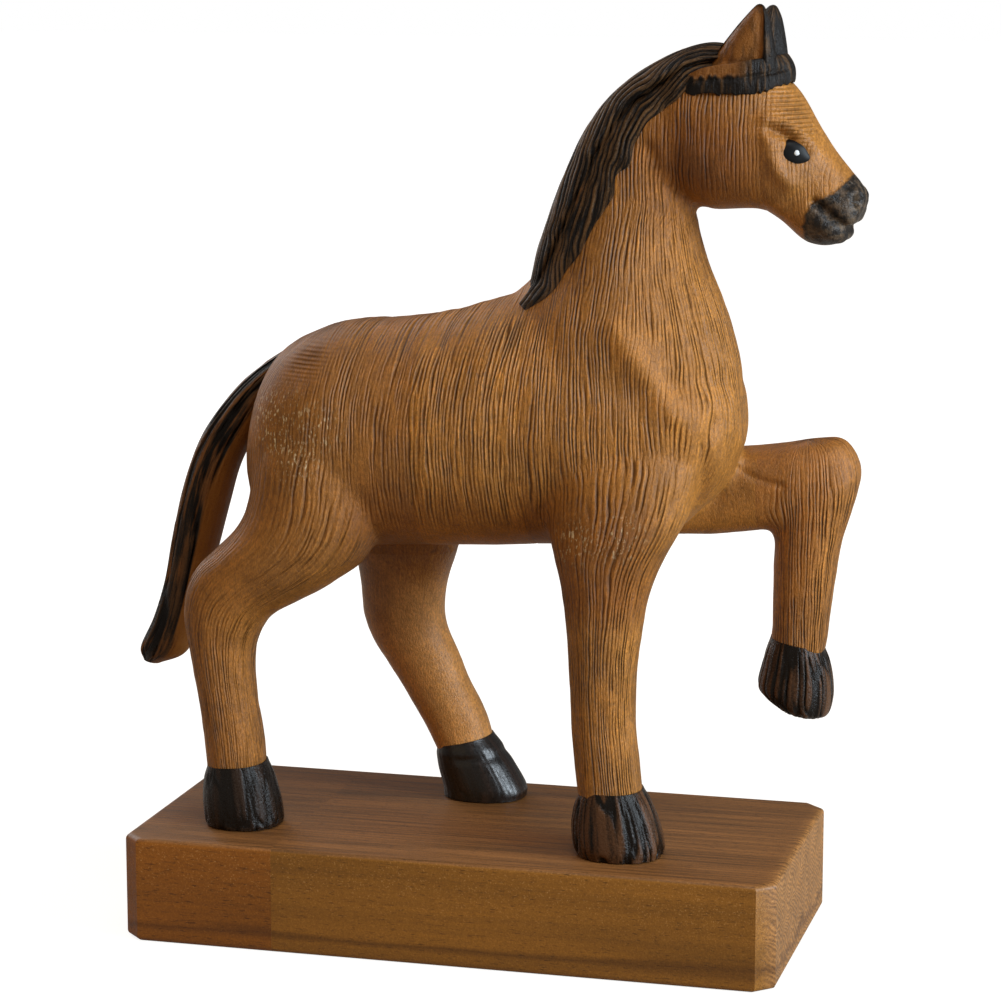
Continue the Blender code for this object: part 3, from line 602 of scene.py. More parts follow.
def carve_details(points):
    """Height of every carved detail at the points: ridges and hollows along their paths."""
    return (
        swell(points, SHOULDER_RIDGE, 1.35, 3.5)
        + swell(points, SHOULDER_HOLLOW, -0.2, 3.5)
        + swell(points, BREAST_CREASE, -0.9, 2.6)
        + swell(points, JAW_CREASE, -1.1, 2.2)
        + swell(points, JOWL, 0.9, 8)
        + swell(points, BROW_CREASE, -1.7, 1.3)
        + swell(points, BROW_RIDGE, 1.1, 2)
        + swell(points, EYE, -1.1, 3.6)
        + swell(points, CHEEK_BONE, 1.1, 2)
        + swell(points, CHEEK_HOLLOW, -0.8, 3.2)
        + swell(points, NOSTRIL_RIM, 0.8, 1.4)
        + swell(points, NOSTRIL, -2.2, 1.4)
        + swell(points, MOUTH, -1.9, 1.1)
        + swell(points, LOWER_LIP, 0.7, 1.8)
        + swell(points, FOREARM_ARC, -0.45, 0.8, both_sides=False)
    )


def carved_body():
    """The horse's body, neck, head and legs as one carved skin, with what the materials need at each point.

    The skin is moved along its normals by the carved details, long shallow flutes (noise stretched
    along the grain), slow unevenness and a fine notch at each glue line."""
    points, quads = fused_form((TRUNK, NECK, HEAD, *LIMBS[1:]))
    board = board_of(points[quads].mean(axis=1))
    planes = to_glue_planes(points, quads, board)
    normals = normals_of(points, quads)
    reach, arc, along = (np.stack(values) for values in zip(*(limb_frame(points, ribs) for ribs in LIMBS)))
    core = np.minimum(limb_frame(points, TRUNK)[0], limb_frame(points, HEAD)[0])
    nearest = np.argmin(reach, axis=0)
    reach, arc, along = (values[nearest, np.arange(len(points))] for values in (reach, arc, along))
    along += LINE_STEP * nearest
    on_neck, on_left_hind, on_raised = (
        nearest == LIMBS.index(ribs) for ribs in (NECK, LEFT_HIND_LEG, RAISED_FORELEG))
    share = smoothstep(core - reach, -0.12, 0.12)
    rise = points[:, 2]
    raised_root = share * on_raised * smoothstep(-points[:, 0], -RAISED_SEAM - 7, -RAISED_SEAM + 1)
    share = np.where(on_neck, share * smoothstep(rise, 132, 152) * smoothstep(-rise, -166, -150), share)
    share *= ~on_raised
    point_board = np.zeros(len(points), int)
    point_board[quads.ravel()] = np.repeat(board, 4)
    gouge = np.array([row.gouging for row in BOARDS])[point_board]
    gouge *= smoothstep(normals[:, 2], -0.8, -0.35)
    for path, breadth, less in SMOOTH_PLACES:
        gouge *= 1 - swell(points, path, less, breadth, both_sides=False)
    gouge *= (1 - 0.85 * share * on_left_hind) * (1 - 0.97 * raised_root)
    gouge *= 1 - (point_board == RAISED) * smoothstep(np.abs(shank_turn(points)), 2.6, 2.9)
    gouge *= np.clip(0.85 + 0.5 * hashed_noise(points / (8, 12, 16), 3), 0.25, 1)
    paint_edge = np.interp(rise, MUZZLE_EDGE_Z, MUZZLE_EDGE_X)
    paint = smoothstep(points[:, 0] - paint_edge + 0.5 * hashed_noise(points / 1.5, 11), -0.5, 0.4)
    paint *= rise > FACE_SEAM_FOOT
    gouge *= 1 - paint
    ribbed = sum(swell(points, spot, 1, breadth) for spot, breadth in RIB_PATCHES)
    across = trunk_flow(points)
    flute_size = (FLUTE_PITCH, GOUGE_LENGTH, GOUGE_LENGTH)
    trunk_flutes = hashed_noise(np.stack((across, points[:, 2], points[:, 1]), -1) / flute_size, 5)
    limb_flutes = hashed_noise(np.stack((arc, along, nearest * FLUTE_STEP), -1) / flute_size, 6)
    flute = trunk_flutes * (1 - share) + limb_flutes * share
    notch = np.zeros(len(points))
    for seam in SEAMS:
        near_boards = np.isin(point_board, seam.one + seam.other)
        gap = np.abs(points[:, seam.axis] - seam.station)
        notch = np.maximum(notch, seam.open * near_boards * np.exp(-(gap / 0.35) ** 2))
    height = carve_details(points) + 0.11 * flute * gouge - 0.12 * notch
    height += 0.2 * hashed_noise(points / 8, 8) + 0.06 * hashed_noise(points / 2.6, 9)
    points = points + normals * height[:, None]
    points[:, 0] = np.minimum(points[:, 0], CAD_BOX[1][0] / MM)
    # Painted shade and light, kept for the material: darker round the jowl, at the top of the far hind leg
    # and low under the belly, lighter on the lower hind legs and along the shoulder ridge
    painted_shade_and_light = -0.55 * np.exp(-(distance_to(points, JOWL) / 13) ** 2)
    painted_shade_and_light -= 0.08 * (point_board == LEFT_HIND) * smoothstep(rise, 50, LEFT_HIND_SEAM - 1)
    under_belly = smoothstep(points[:, 0], -34, -22) * smoothstep(-points[:, 0], -56, -44)
    painted_shade_and_light -= 0.32 * under_belly * smoothstep(-rise, -97, -80) * smoothstep(rise, 55, 66)
    painted_shade_and_light += 0.18 * smoothstep(-rise, -58, -38) * smoothstep(-points[:, 0], -20, 0)
    painted_shade_and_light += 0.22 * np.exp(-(distance_to(points, SHOULDER_RIDGE) / 3) ** 2)
    wax = sum(np.exp(-(distance_to(points, spot) / 5) ** 2) for spot in WAX_PATCHES)
    attributes = {
        "grain": np.stack((arc, along, share), -1),
        "flow": together(across, points[:, 2], 0),
        "finish": np.stack((gouge, paint, np.minimum(wax, 1)), -1),
        "mark": np.stack((notch, np.minimum(ribbed, 1), painted_shade_and_light), -1),
    }
    return points, normals, quads, board, planes, attributes


def fill_glue_faces(mesh, planes):
    """Fill a board's open rim, plane by plane; where two planes meet, an edge is drawn across first."""
    work = bmesh.new()
    work.from_mesh(mesh)
    work.verts.ensure_lookup_table()
    for one, other in itertools.combinations(range(len(SEAMS)), 2):
        corners = np.flatnonzero(planes[:, one] & planes[:, other])
        if len(corners) == 2:
            work.edges.new([work.verts[k] for k in corners])
    for number in range(len(SEAMS)):
        rim = [edge for edge in work.edges if len(edge.link_faces) < 2
               and all(planes[vert.index, number] for vert in edge.verts if vert.index < len(planes))]
        if rim:
            bmesh.ops.edgenet_fill(work, edges=rim)
    work.to_mesh(mesh)
    work.free()


def body_pieces(points, quads, board, planes, attributes):
    """One piece per board: its own quads, its glue faces filled, standing for the board's solid."""
    for number, row in enumerate(BOARDS):
        own, corners = np.unique(quads[board == number], return_inverse=True)
        mesh = new_mesh(row.name, points[own], corners.reshape(-1, 4).tolist())
        own_values = {name: values[own] for name, values in attributes.items()}
        if number == RAISED:
            own_values["flow"] = together(SHANK_RADIUS * shank_turn(points[own]), points[own, 2], 0)
        for name, values in own_values.items():
            add_attribute(mesh, name, values)
        fill_glue_faces(mesh, planes[own])
        finish_mesh(mesh, 50)
        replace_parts(add_piece(mesh, carved_teak(row, number)), row.node)


# Materials

def colour(hex_code):
    """Linear colour of an sRGB hex code."""
    channels = (int(hex_code[k:k + 2], 16) / 255 for k in (0, 2, 4))
    return (*(c / 12.92 if c <= 0.04045 else ((c + 0.055) / 1.055) ** 2.4 for c in channels), 1)


# A Mix node's way with colours, and its colour output
IN_COLOUR = {"data_type": "RGBA", "out": 2}


def set_inputs(node, inputs):
    """Set a node's inputs, or link them to the outputs given."""
    for key, value in inputs.items():
        if isinstance(value, bpy.types.NodeSocket):
            node.id_data.links.new(value, node.inputs[key])
        else:
            node.inputs[key].default_value = value


def add_node(tree, kind, inputs=(), out=0, **settings):
    """Add a node, set its properties, set or link its inputs, and give one of its outputs."""
    node = tree.nodes.new("ShaderNode" + kind)
    for name, value in settings.items():
        setattr(node, name, value)
    set_inputs(node, dict(inputs))
    return node.outputs[out]


def new_material(name):
    """Empty node material, its Principled shader, and add_node for its tree."""
    material = bpy.data.materials.new(name)
    material.use_nodes = True
    tree = material.node_tree
    return material, tree.nodes["Principled BSDF"], partial(add_node, tree)


def carved_teak(row, seed):
    """Waxed teak, combed with a fine gouge: rounded ridges between brown cuts, speckled pores, soft sheen."""
    material, shader, add = new_material(f"waxed_carved_teak_{row.name}")
    place = add("TexCoord", out="Object")
    grain = add("Attribute", out="Vector", attribute_name="grain")
    flow = add("Attribute", out="Vector", attribute_name="flow")
    share = add("SeparateXYZ", {0: grain}, out=2)
    finish = add("Attribute", out="Vector", attribute_name="finish")
    gouge, paint, wax = (add("SeparateXYZ", {0: finish}, out=k) for k in range(3))
    mark = add("Attribute", out="Vector", attribute_name="mark")
    joint, ribbed, painted_shade_and_light = (add("SeparateXYZ", {0: mark}, out=k) for k in range(3))
    trunk_place = add("Mapping", {0: flow, 1: (seed * 31.7, 0, 0)})
    limb_place = add("Mapping", {0: grain, 1: (0, 0, seed * 17), 3: (1, 1, 0)})
    lines, crest_highlights, fibres = [], [], []
    for spot in (trunk_place, limb_place):
        # Lines stand about a pitch apart, wander slowly, differ in depth and fade in and out
        slow = add("Mapping", {0: spot, 3: (1 / 6, 1 / GOUGE_LENGTH, 1)})
        quick = add("Mapping", {0: spot, 3: (1 / 2.2, 1 / 11, 1)})
        wander = add("TexNoise", {0: slow, 2: 1.0, 3: 1.0})
        jitter = add("TexNoise", {0: quick, 2: 1.0, 3: 1.5})
        across = add("SeparateXYZ", {0: spot})
        phase = add("Math", {0: across, 1: 1 / GOUGE_PITCH}, operation="MULTIPLY")
        phase = add("Math", {0: wander, 1: 2.6, 2: phase}, operation="MULTIPLY_ADD")
        phase = add("Math", {0: jitter, 1: 1.45, 2: phase}, operation="MULTIPLY_ADD")
        beside = add("Math", {0: phase, 1: 0.5}, operation="PINGPONG")
        beside = add("Math", {0: beside, 1: math.pi}, operation="MULTIPLY")
        ridge = add("Math", {0: beside}, operation="SINE")
        valley = add("Math", {0: 1.0, 1: ridge}, operation="SUBTRACT")
        valley = add("Math", {0: valley, 1: row.fineness}, operation="POWER")
        fading = add("Mapping", {0: spot, 1: (40, 3, 7), 3: (1 / 1.6, 1 / 11, 1)})
        fade = add("TexNoise", {0: fading, 2: 1.0, 3: 1.5})
        deep = add("MapRange", {0: fade, 1: 0.38, 2: 0.6, 3: 0.12, 4: 1.0})
        number = add("Math", {0: phase}, operation="ROUND")
        chance = add("TexWhiteNoise", {1: number}, noise_dimensions="1D")
        weight = add("MapRange", {0: chance, 3: 0.4, 4: 1.0})
        deep = add("Math", {0: deep, 1: weight}, operation="MULTIPLY")
        lines.append(add("Math", {0: valley, 1: deep}, operation="MULTIPLY"))
        # Crests of the ridges are lightened: a painted highlight where they would catch the light
        crest = add("Math", {0: ridge, 1: 5.0}, operation="POWER")
        crest_highlights.append(add("Math", {0: crest, 1: deep}, operation="MULTIPLY"))
        threads = add("Mapping", {0: spot, 1: (3, 11, 5), 3: (1 / 0.45, 1 / 7, 1)})
        fibres.append(add("TexNoise", {0: threads, 2: 1.0, 3: 2.0}))
    line, crest, fibre = (
        add("Mix", {0: share, 2: on_trunk, 3: on_limb}) for on_trunk, on_limb in (lines, crest_highlights, fibres))
    cut, crest = (add("Math", {0: depth, 1: gouge}, operation="MULTIPLY") for depth in (line, crest))
    # Ribs across the grain, one to a millimetre
    rise = add("SeparateXYZ", {0: flow}, out=1)
    rib = add("Math", {0: rise, 1: 2 * math.pi}, operation="MULTIPLY")
    rib = add("Math", {0: rib}, operation="SINE")
    rib = add("MapRange", {0: rib, 1: -1.0, 2: 1.0, 3: 0.0, 4: 0.7})
    cut = add("Mix", {0: ribbed, 2: cut, 3: rib})
    drift = add("TexNoise", {0: place, 2: 1 / (20 * MM), 3: 2.0})
    # Pores are drawn coarser than real ones, so that they show
    pore_place = add("Mapping", {0: place, 3: (1 / (0.4 * MM), 1 / (0.9 * MM), 1 / (0.9 * MM))})
    pores = add("TexNoise", {0: pore_place, 2: 1.0, 3: 3.0, 4: 0.75})
    mottle = add("TexNoise", {0: place, 2: 1 / (3 * MM), 3: 3.0, 4: 0.6})
    # Tones that multiply: what gives each, the range taken of it, and the shade at the range's two ends; the
    # cuts' tone is painted shade in the grooves and painted light between them, the crests' tone a painted
    # highlight
    shade = 1.0
    for cause, low, high, at_low, at_high in (
        (drift, 0.3, 0.7, 0.82, 1.16), (pores, 0.25, 0.75, 0.5, 1.54), (mottle, 0.3, 0.7, 0.84, 1.14),
        (fibre, 0.3, 0.7, 0.86, 1.14), (cut, 0.0, 0.6, 1.2, 0.88), (crest, 0.15, 1.0, 1.0, 1.5),
    ):
        tone = add("MapRange", {0: cause, 1: low, 2: high, 3: at_low, 4: at_high})
        shade = add("Math", {0: shade, 1: tone}, operation="MULTIPLY")
    # Painted shade and light from the form darken or lighten the tone here
    shade = add("Math", {0: shade, 1: painted_shade_and_light, 2: shade}, operation="MULTIPLY_ADD")
    wood = add("Mix", {0: 1.0, 6: colour(row.tone), 7: shade}, **IN_COLOUR, blend_type="MULTIPLY")
    # Where painted shade darkens the wood it is tinted redder too
    shade_reddening = add("MapRange", {0: painted_shade_and_light, 1: 0.0, 2: -0.45})
    red = add("Mix", {0: shade_reddening, 6: colour("FFFFFF"), 7: colour("FFE8C0")}, **IN_COLOUR)
    wood = add("Mix", {0: 1.0, 6: wood, 7: red}, **IN_COLOUR, blend_type="MULTIPLY")
    # Dark brown in the cuts is painted shade in the grooves; along the glue joints it is the joints' own dark
    # line
    seamed = add("Math", {0: joint, 1: 0.5}, operation="MULTIPLY")
    dark = add("Math", {0: cut, 1: seamed}, operation="MAXIMUM")
    dark = add("MapRange", {0: dark, 1: 0.3, 2: 1.1, 3: 0.0, 4: 0.22})
    lined = add("Mix", {0: dark, 6: wood, 7: colour("55300F")}, **IN_COLOUR)
    spot_place = add("Mapping", {0: place, 3: (1 / (0.5 * MM), 1 / (1.2 * MM), 1 / (1.2 * MM))})
    spots = add("TexNoise", {0: spot_place, 2: 1.0, 3: 2.0})
    spot = add("MapRange", {0: spots, 1: 0.58, 2: 0.66})
    waxed = add("Math", {0: spot, 1: wax}, operation="MULTIPLY")
    waxed = add("Math", {0: waxed, 1: 0.8}, operation="MULTIPLY")
    spotted = add("Mix", {0: waxed, 6: lined, 7: colour("F5DFAE")}, **IN_COLOUR)
    rubbed = add("TexNoise", {0: place, 2: 1 / (2.2 * MM), 3: 4.0, 4: 0.65})
    stain_tone = add("MapRange", {0: rubbed, 1: 0.45, 2: 0.72})
    stain = add("Mix", {0: stain_tone, 6: colour("18110B"), 7: colour("75604A")}, **IN_COLOUR)
    painted = add("Mix", {0: paint, 6: spotted, 7: stain}, **IN_COLOUR)
    smoothest, roughest = 0.28 + 0.07 * row.gouging, 0.42 + 0.1 * row.gouging
    rough = add("MapRange", {0: pores, 1: 0.3, 2: 0.7, 3: smoothest, 4: roughest})
    rough = add("Math", {0: cut, 1: 0.25, 2: rough}, operation="MULTIPLY_ADD")
    combed = add("Math", {0: fibre, 1: gouge}, operation="MULTIPLY")
    combed = add("Math", {0: combed, 1: 0.22}, operation="MULTIPLY")
    fine = add("Math", {0: pores, 1: 0.3, 2: combed}, operation="MULTIPLY_ADD")
    clotted = add("Math", {0: rubbed, 1: paint}, operation="MULTIPLY")
    clotted = add("Math", {0: clotted, 1: 0.6}, operation="MULTIPLY")
    fine = add("Math", {0: fine, 1: clotted}, operation="ADD")
    relief = add("Math", {0: fine, 1: cut}, operation="SUBTRACT")
    bump = add("Bump", {0: 1.0, 1: 0.8 * MM, 3: relief})
    set_inputs(shader, {"Base Color": painted, "Roughness": rough, "Specular IOR Level": 0.4, "Normal": bump})
    return material


# Stains: bare streaks, roughness, shine, depth of grit and pitch of hair in mm, and tone on the ridges
STAINS = {
    "hair": (0.07, 0.42, 0.25, 0.3, 0.7, "745637"),
    "tail": (0.26, 0.45, 0.18, 0.25, 0.9, "5A4028"),
    "hoof": (0.0, 0.27, 0.25, 0.2, 0.9, "5C3D26"),
    "granular": (-0.05, 0.26, 0.3, 0.22, 0.8, "33241A"),
    "polished": (-0.1, 0.33, 0.65, 0.04, 0.9, "2A1B11"),
}


def stained_teak(name, wear, rough, shine, grit, pitch, ridge_tone):
    """Teak brushed with black stain over carved strands: near black in the cuts, rubbed brown on ridges."""
    material, shader, add = new_material(name)
    place = add("TexCoord", out="Object")
    grain = add("Attribute", out="Vector", attribute_name="grain")
    finish = add("Attribute", out="Vector", attribute_name="finish")
    ridge, paint, strand = (add("SeparateXYZ", {0: finish}, out=k) for k in range(3))
    fine = add("TexNoise", {0: place, 2: 1 / (0.6 * MM), 3: 3.0, 4: 0.7})
    hair_place = add("Mapping", {0: grain, 3: (1 / pitch, 1 / 14, 1)})
    hair = add("TexNoise", {0: hair_place, 2: 1.0, 3: 2.5, 4: 0.6})
    streak_place = add("Mapping", {0: grain, 1: (9, 5, 0), 3: (1 / (2.4 * pitch), 1 / 18, 1)})
    streaks = add("TexNoise", {0: streak_place, 2: 1.0, 3: 3.0, 4: 0.65})
    height = add("Math", {0: hair, 1: fine}, operation="ADD")
    top = add("Math", {0: ridge, 1: height}, operation="MULTIPLY")
    handled = add("MapRange", {0: streaks, 1: 0.35, 2: 0.65, 3: 0.35, 4: 1.15})
    top = add("Math", {0: top, 1: handled}, operation="MULTIPLY")
    rubbed = add("MapRange", {0: top, 1: 0.38, 2: 1.0})
    black = add("Mix", {0: rubbed, 6: colour("120B06"), 7: colour(ridge_tone)}, **IN_COLOUR)
    worn = add("Math", {0: streaks, 1: strand, 2: -0.25}, operation="MULTIPLY_ADD")
    streak = add("MapRange", {0: worn, 1: 0.3 - wear, 2: 0.42 - wear, 3: 0.0, 4: 0.85})
    brown = add("Mix", {0: height, 6: colour("452810"), 7: colour("8A5A30")}, **IN_COLOUR)
    stain = add("Mix", {0: streak, 6: black, 7: brown}, **IN_COLOUR)
    wood = add("Mix", {0: height, 6: colour("5C3413"), 7: colour("98622C")}, **IN_COLOUR)
    painted = add("Mix", {0: paint, 6: wood, 7: stain}, **IN_COLOUR)
    patchy = add("MapRange", {0: fine, 1: 0.3, 2: 0.7, 3: rough - 0.1, 4: rough + 0.15})
    bump = add("Bump", {0: 1.0, 1: grit * MM, 3: height})
    set_inputs(shader, {"Base Color": painted, "Roughness": patchy, "Specular IOR Level": shine,
                        "Normal": bump})
    return material


def planed_teak(name, tone, shift):
    """Planed and waxed plinth teak: even brown with faint long streaks, short dark pores and wax flecks.

    The top is cut nearer the heart and streakier; the end shows paler end grain; a dark vein lies low."""
    material, shader, add = new_material(name)
    place = add("TexCoord", out="Object")
    along, height = (add("SeparateXYZ", {0: place}, out=k) for k in (0, 2))
    bands, threads, dashes = (
        add("Mapping", {0: place, 1: (shift, shift, 0), 3: (1 / (a * MM), 1 / (b * MM), 1 / (b * MM))})
        for a, b in ((90, 8), (45, 0.9), (2.6, 0.35)))
    band = add("TexNoise", {0: bands, 2: 1.0, 3: 3.0})
    thread = add("TexNoise", {0: threads, 2: 1.0, 3: 2.0})
    dash = add("TexNoise", {0: dashes, 2: 1.0, 3: 2.0, 4: 0.6})
    fine = add("TexNoise", {0: place, 2: 1 / (0.45 * MM), 3: 2.0, 4: 0.7})
    band_tone = add("MapRange", {0: band, 1: 0.3, 2: 0.7, 3: 0.8, 4: 1.16})
    thread_tone = add("MapRange", {0: thread, 1: 0.3, 2: 0.7, 3: 0.9, 4: 1.08})
    streak_tone = add("MapRange", {0: thread, 1: 0.35, 2: 0.65, 3: 0.6, 4: 1.2})
    fine_tone = add("MapRange", {0: fine, 1: 0.3, 2: 0.7, 3: 0.8, 4: 1.2})
    on_top = add("MapRange", {0: height, 1: PLINTH_HIGH.z - 0.9 * MM, 2: PLINTH_HIGH.z - 0.2 * MM})
    thread_tone = add("Mix", {0: on_top, 2: thread_tone, 3: streak_tone})
    at_end = add("MapRange", {0: along, 1: PLINTH_HIGH.x - 3.5 * MM, 2: PLINTH_HIGH.x - 0.4 * MM})
    cut = add("Mix", {0: on_top, 6: colour(tone), 7: colour("8E5F32")}, **IN_COLOUR)
    cut = add("Mix", {0: at_end, 6: cut, 7: colour("A8743F")}, **IN_COLOUR)
    ring_place = add("VectorMath", {0: place, 1: (0, 0.55, 0.83)}, out="Value", operation="DOT_PRODUCT")
    rings = add("Math", {0: ring_place, 1: 2 * math.pi / (1.2 * MM)}, operation="MULTIPLY")
    rings = add("Math", {0: band, 1: 40.0, 2: rings}, operation="MULTIPLY_ADD")
    rings = add("Math", {0: rings}, operation="SINE")
    rings = add("MapRange", {0: rings, 1: -1.0, 2: 1.0, 3: 0.62, 4: 1.2})
    rings = add("Mix", {0: at_end, 2: 1.0, 3: rings})
    shade = band_tone
    for factor in (thread_tone, fine_tone, rings):
        shade = add("Math", {0: shade, 1: factor}, operation="MULTIPLY")
    wood = add("Mix", {0: 1.0, 6: cut, 7: shade}, **IN_COLOUR, blend_type="MULTIPLY")
    sway = add("Math", {0: band, 1: 9 * MM, 2: height}, operation="MULTIPLY_ADD")
    off = add("Math", {0: sway, 1: 9.5 * MM}, operation="SUBTRACT")
    off = add("Math", {0: off}, operation="ABSOLUTE")
    vein = add("MapRange", {0: off, 1: 0.0, 2: 1.8 * MM, 3: 0.55, 4: 0.0})
    veined = add("Mix", {0: vein, 6: wood, 7: colour("45240C")}, **IN_COLOUR)
    pore = add("MapRange", {0: dash, 1: 0.58, 2: 0.7, 3: 0.0, 4: 0.6})
    pored = add("Mix", {0: pore, 6: veined, 7: colour("2E1707")}, **IN_COLOUR)
    waxed = add("MapRange", {0: height, 1: 9 * MM, 2: 20 * MM, 3: 0.1, 4: 0.6})
    waxed = add("Mix", {0: on_top, 2: waxed, 3: 0.1})
    fleck = add("MapRange", {0: fine, 1: 0.62, 2: 0.7, 3: 0.0, 4: waxed})
    flecked = add("Mix", {0: fleck, 6: pored, 7: colour("C99A5E")}, **IN_COLOUR)
    rough = add("MapRange", {0: thread, 1: 0.3, 2: 0.7, 3: 0.4, 4: 0.55})
    dent = add("Math", {0: fine, 1: pore}, operation="SUBTRACT")
    bump = add("Bump", {0: 0.5, 1: 0.08 * MM, 3: dent})
    set_inputs(shader, {"Base Color": flecked, "Roughness": rough, "Specular IOR Level": 0.4, "Normal": bump})
    return material


def eye_enamel(name, hex_code):
    """Brushed enamel dot: a wet-looking gloss that is a touch uneven."""
    material, shader, add = new_material(name)
    place = add("TexCoord", out="Object")
    uneven = add("TexNoise", {0: place, 2: 1 / (1.2 * MM)})
    shade = add("MapRange", {0: uneven, 3: 0.8, 4: 1.1})
    paint = add("Mix", {0: 1.0, 6: colour(hex_code), 7: shade}, **IN_COLOUR, blend_type="MULTIPLY")
    set_inputs(shader, {"Base Color": paint, "Roughness": 0.45, "Specular IOR Level": 0.25})
    return material


def dowel_beech():
    """Plain turned beech of the hidden dowels: pale, with small flecks."""
    material, shader, add = new_material("turned_beech_dowel")
    place = add("TexCoord", out="Object")
    flecks = add("TexNoise", {0: place, 2: 1 / (1.5 * MM), 3: 2.0})
    wood = add("Mix", {0: flecks, 6: colour("B98F5C"), 7: colour("D6B484")}, **IN_COLOUR)
    set_inputs(shader, {"Base Color": wood, "Roughness": 0.6})
    return material


# Painted and added pieces

def side_of(points, x, z):
    """Half-width of the carved body at side-view places: mean of its right side's three nearest points."""
    right = points[(points[:, 1] < 0.5) & (points[:, 2] > 120)]
    places = KDTree(len(right))
    for number, (a, _, c) in enumerate(right):
        places.insert((a, 0, c), number)
    places.balance()
    nearest = ([k for _, k, _ in places.find_n((a, 0, c), 3)] for a, c in zip(x, z))
    return np.array([-np.mean(right[numbers, 1]) for numbers in nearest])


def lengths_of(path):
    """Length along a path at each of its points."""
    return np.concatenate(((0,), np.cumsum(np.linalg.norm(np.diff(path, axis=0), axis=1))))


def evened(grid):
    """Grid of numbers with each averaged over its neighbours in both directions."""
    for axis in (0, 1):
        wide = np.concatenate((grid.take([0], axis), grid, grid.take([-1], axis)), axis)
        count = grid.shape[axis]
        grid = sum(wide.take(range(k, k + count), axis) for k in range(3)) / 3
    return grid


def turned_back(front, scale=1, shift=0):
    """Grid carried on round a coarser back: every fourth of its columns in reverse, scaled and shifted."""
    return np.concatenate((front, front[:, ::-1][:, ::4] * scale + shift), axis=1)


def mane(points):
    """Mane over the crest: each section runs from the right edge over the crest to the left edge, depth
    D(1 - cos) and side w sin of its angle, lying on the neck. Strands are |sin| ridges that slant to the
    wavy lower edge."""
    rows = fair(MANE, 24)
    count = 220
    turn = np.linspace(-math.pi / 2, math.pi / 2, count)
    x1, z1, x2, z2, half_width, _, squareness = rows.T[:, :, None]
    length = lengths_of(rows[:, 0:2])[:, None]
    edge_wave = 1 + 0.1 * hashed_noise(together(length / 6, 0, 0), 21)
    depth = (1 - np.abs(np.cos(turn)) ** (2 / squareness)) * edge_wave
    side = half_width * power(np.sin(turn), 2 / squareness)
    x = x1 + (x2 - x1) * depth
    z = z1 + (z2 - z1) * depth
    body = side_of(points, x.ravel(), z.ravel()).reshape(x.shape)
    lift = 1.2 - 0.6 * (turn / (math.pi / 2)) ** 4
    lying = smoothstep(np.abs(turn), 0.35, 0.8) * (body + lift)
    over_crest = np.abs(side) * (1 - smoothstep(np.abs(turn), 0.9, 1.3))
    side = np.sign(side) * evened(evened(np.maximum(over_crest, lying)))
    grid = np.stack((x, side, z), -1)
    normals = grid_normals(grid)
    drop = np.cumsum(np.linalg.norm(np.diff(grid, axis=1, prepend=grid[:, :1]), axis=2), axis=1)
    drop = np.abs(drop - drop[:, [count // 2]])
    wander = hashed_noise(grid / 9, 22)
    kink = hashed_noise(grid / 3.5, 23)
    slant = (drop + 0.3 * length + 2.2 * wander + 0.6 * kink) / 1.8
    ridge = np.abs(np.sin(math.pi * slant)) ** 0.6
    strand = hashed_noise(together(np.floor(slant), 0, length / 26), 24)
    edge = smoothstep(np.abs(turn), 1.35, 1.57)
    grid = grid + normals * (((ridge - 0.7) * 0.7 + 0.2 * strand) * (1 - edge) - 0.3 * edge)[..., None]
    finish = together(ridge, 1, 0.5 + 0.5 * strand)
    grain = together(drop + 0.27 * length + 1.5 * wander, length, 0)
    return turned_back(grid, (1, 0.6, 1), (2, 0, -1)), turned_back(finish), turned_back(grain)


def grid_normals(grid):
    """Unit normals of a grid of points, from its two directions, pointing away from each row's middle."""
    along = np.gradient(grid, axis=0)
    across = np.gradient(grid, axis=1)
    normals = np.cross(across, along)
    normals /= np.maximum(np.linalg.norm(normals, axis=2), 1e-9)[..., None]
    outward = grid - grid.mean(axis=1, keepdims=True)
    return normals * np.sign(np.sum(normals * outward, axis=(1, 2)))[:, None, None]


def forelock():
    """Forelock band: the surface between its lower and upper edge round the forehead, swollen between them.

    Upright strands are noise stretched along the rise; the lower edge is fringed and the front has a tuft."""
    edges = np.array(FORELOCK_EDGES)
    rows = fair(np.vstack((edges, edges[-2::-1] * (1, -1, 1, 1, -1, 1))), 24)
    low, high = rows[:, None, 0:3], rows[:, None, 3:6]
    rise = np.linspace(0, 1, 60)
    length = lengths_of(rows[:, 0:3])[:, None]
    comb = hashed_noise(together(length / 0.8, rise * 1.6, 0), 31)
    lump = hashed_noise(together(length / 4, rise * 2, 0), 32)
    front = low + (high - low) * rise[:, None]
    front[..., 2] += 0.45 * comb * (1 - rise) ** 3
    outward = np.cross(np.gradient(rows[:, 0:3], axis=0), (high - low)[:, 0])
    outward /= np.linalg.norm(outward, axis=1)[:, None]
    outward *= np.sign(np.sum(outward * (rows[:, 0:3] - (62, 0, 190)), axis=1))[:, None]
    tuft = np.exp(-(rows[:, [1]] / 5) ** 4) * (rows[:, [0]] > 70)
    swelling = 0.9 * np.sin(math.pi * rise) ** 0.5 - 0.5 * np.exp(-((rise - 0.5) / 0.07) ** 2) * (1 - tuft)
    swelling = swelling + 0.16 * comb + 0.3 * lump + 0.8 * tuft - 0.3
    bare = smoothstep(rise + 0.12 * comb + 0.1 * lump, 0.52, 0.7) * smoothstep(-rows[:, [0]], -71, -65)
    swelling = swelling - 0.5 * bare
    ends = smoothstep(np.minimum(length, length[-1] - length), 0, 6)
    front = front + outward[:, None] * (swelling * ends - 1.2 * (1 - ends))[..., None]
    finish = together(0.35 + 0.3 * rise + 0.35 * comb, 1 - 0.85 * bare, 0.4 + 0.2 * lump + 0.35 * rise)
    grain = together(length, rise * 8, 3)
    return turned_back(front, shift=outward[:, None] * -3.5), turned_back(finish), turned_back(grain)


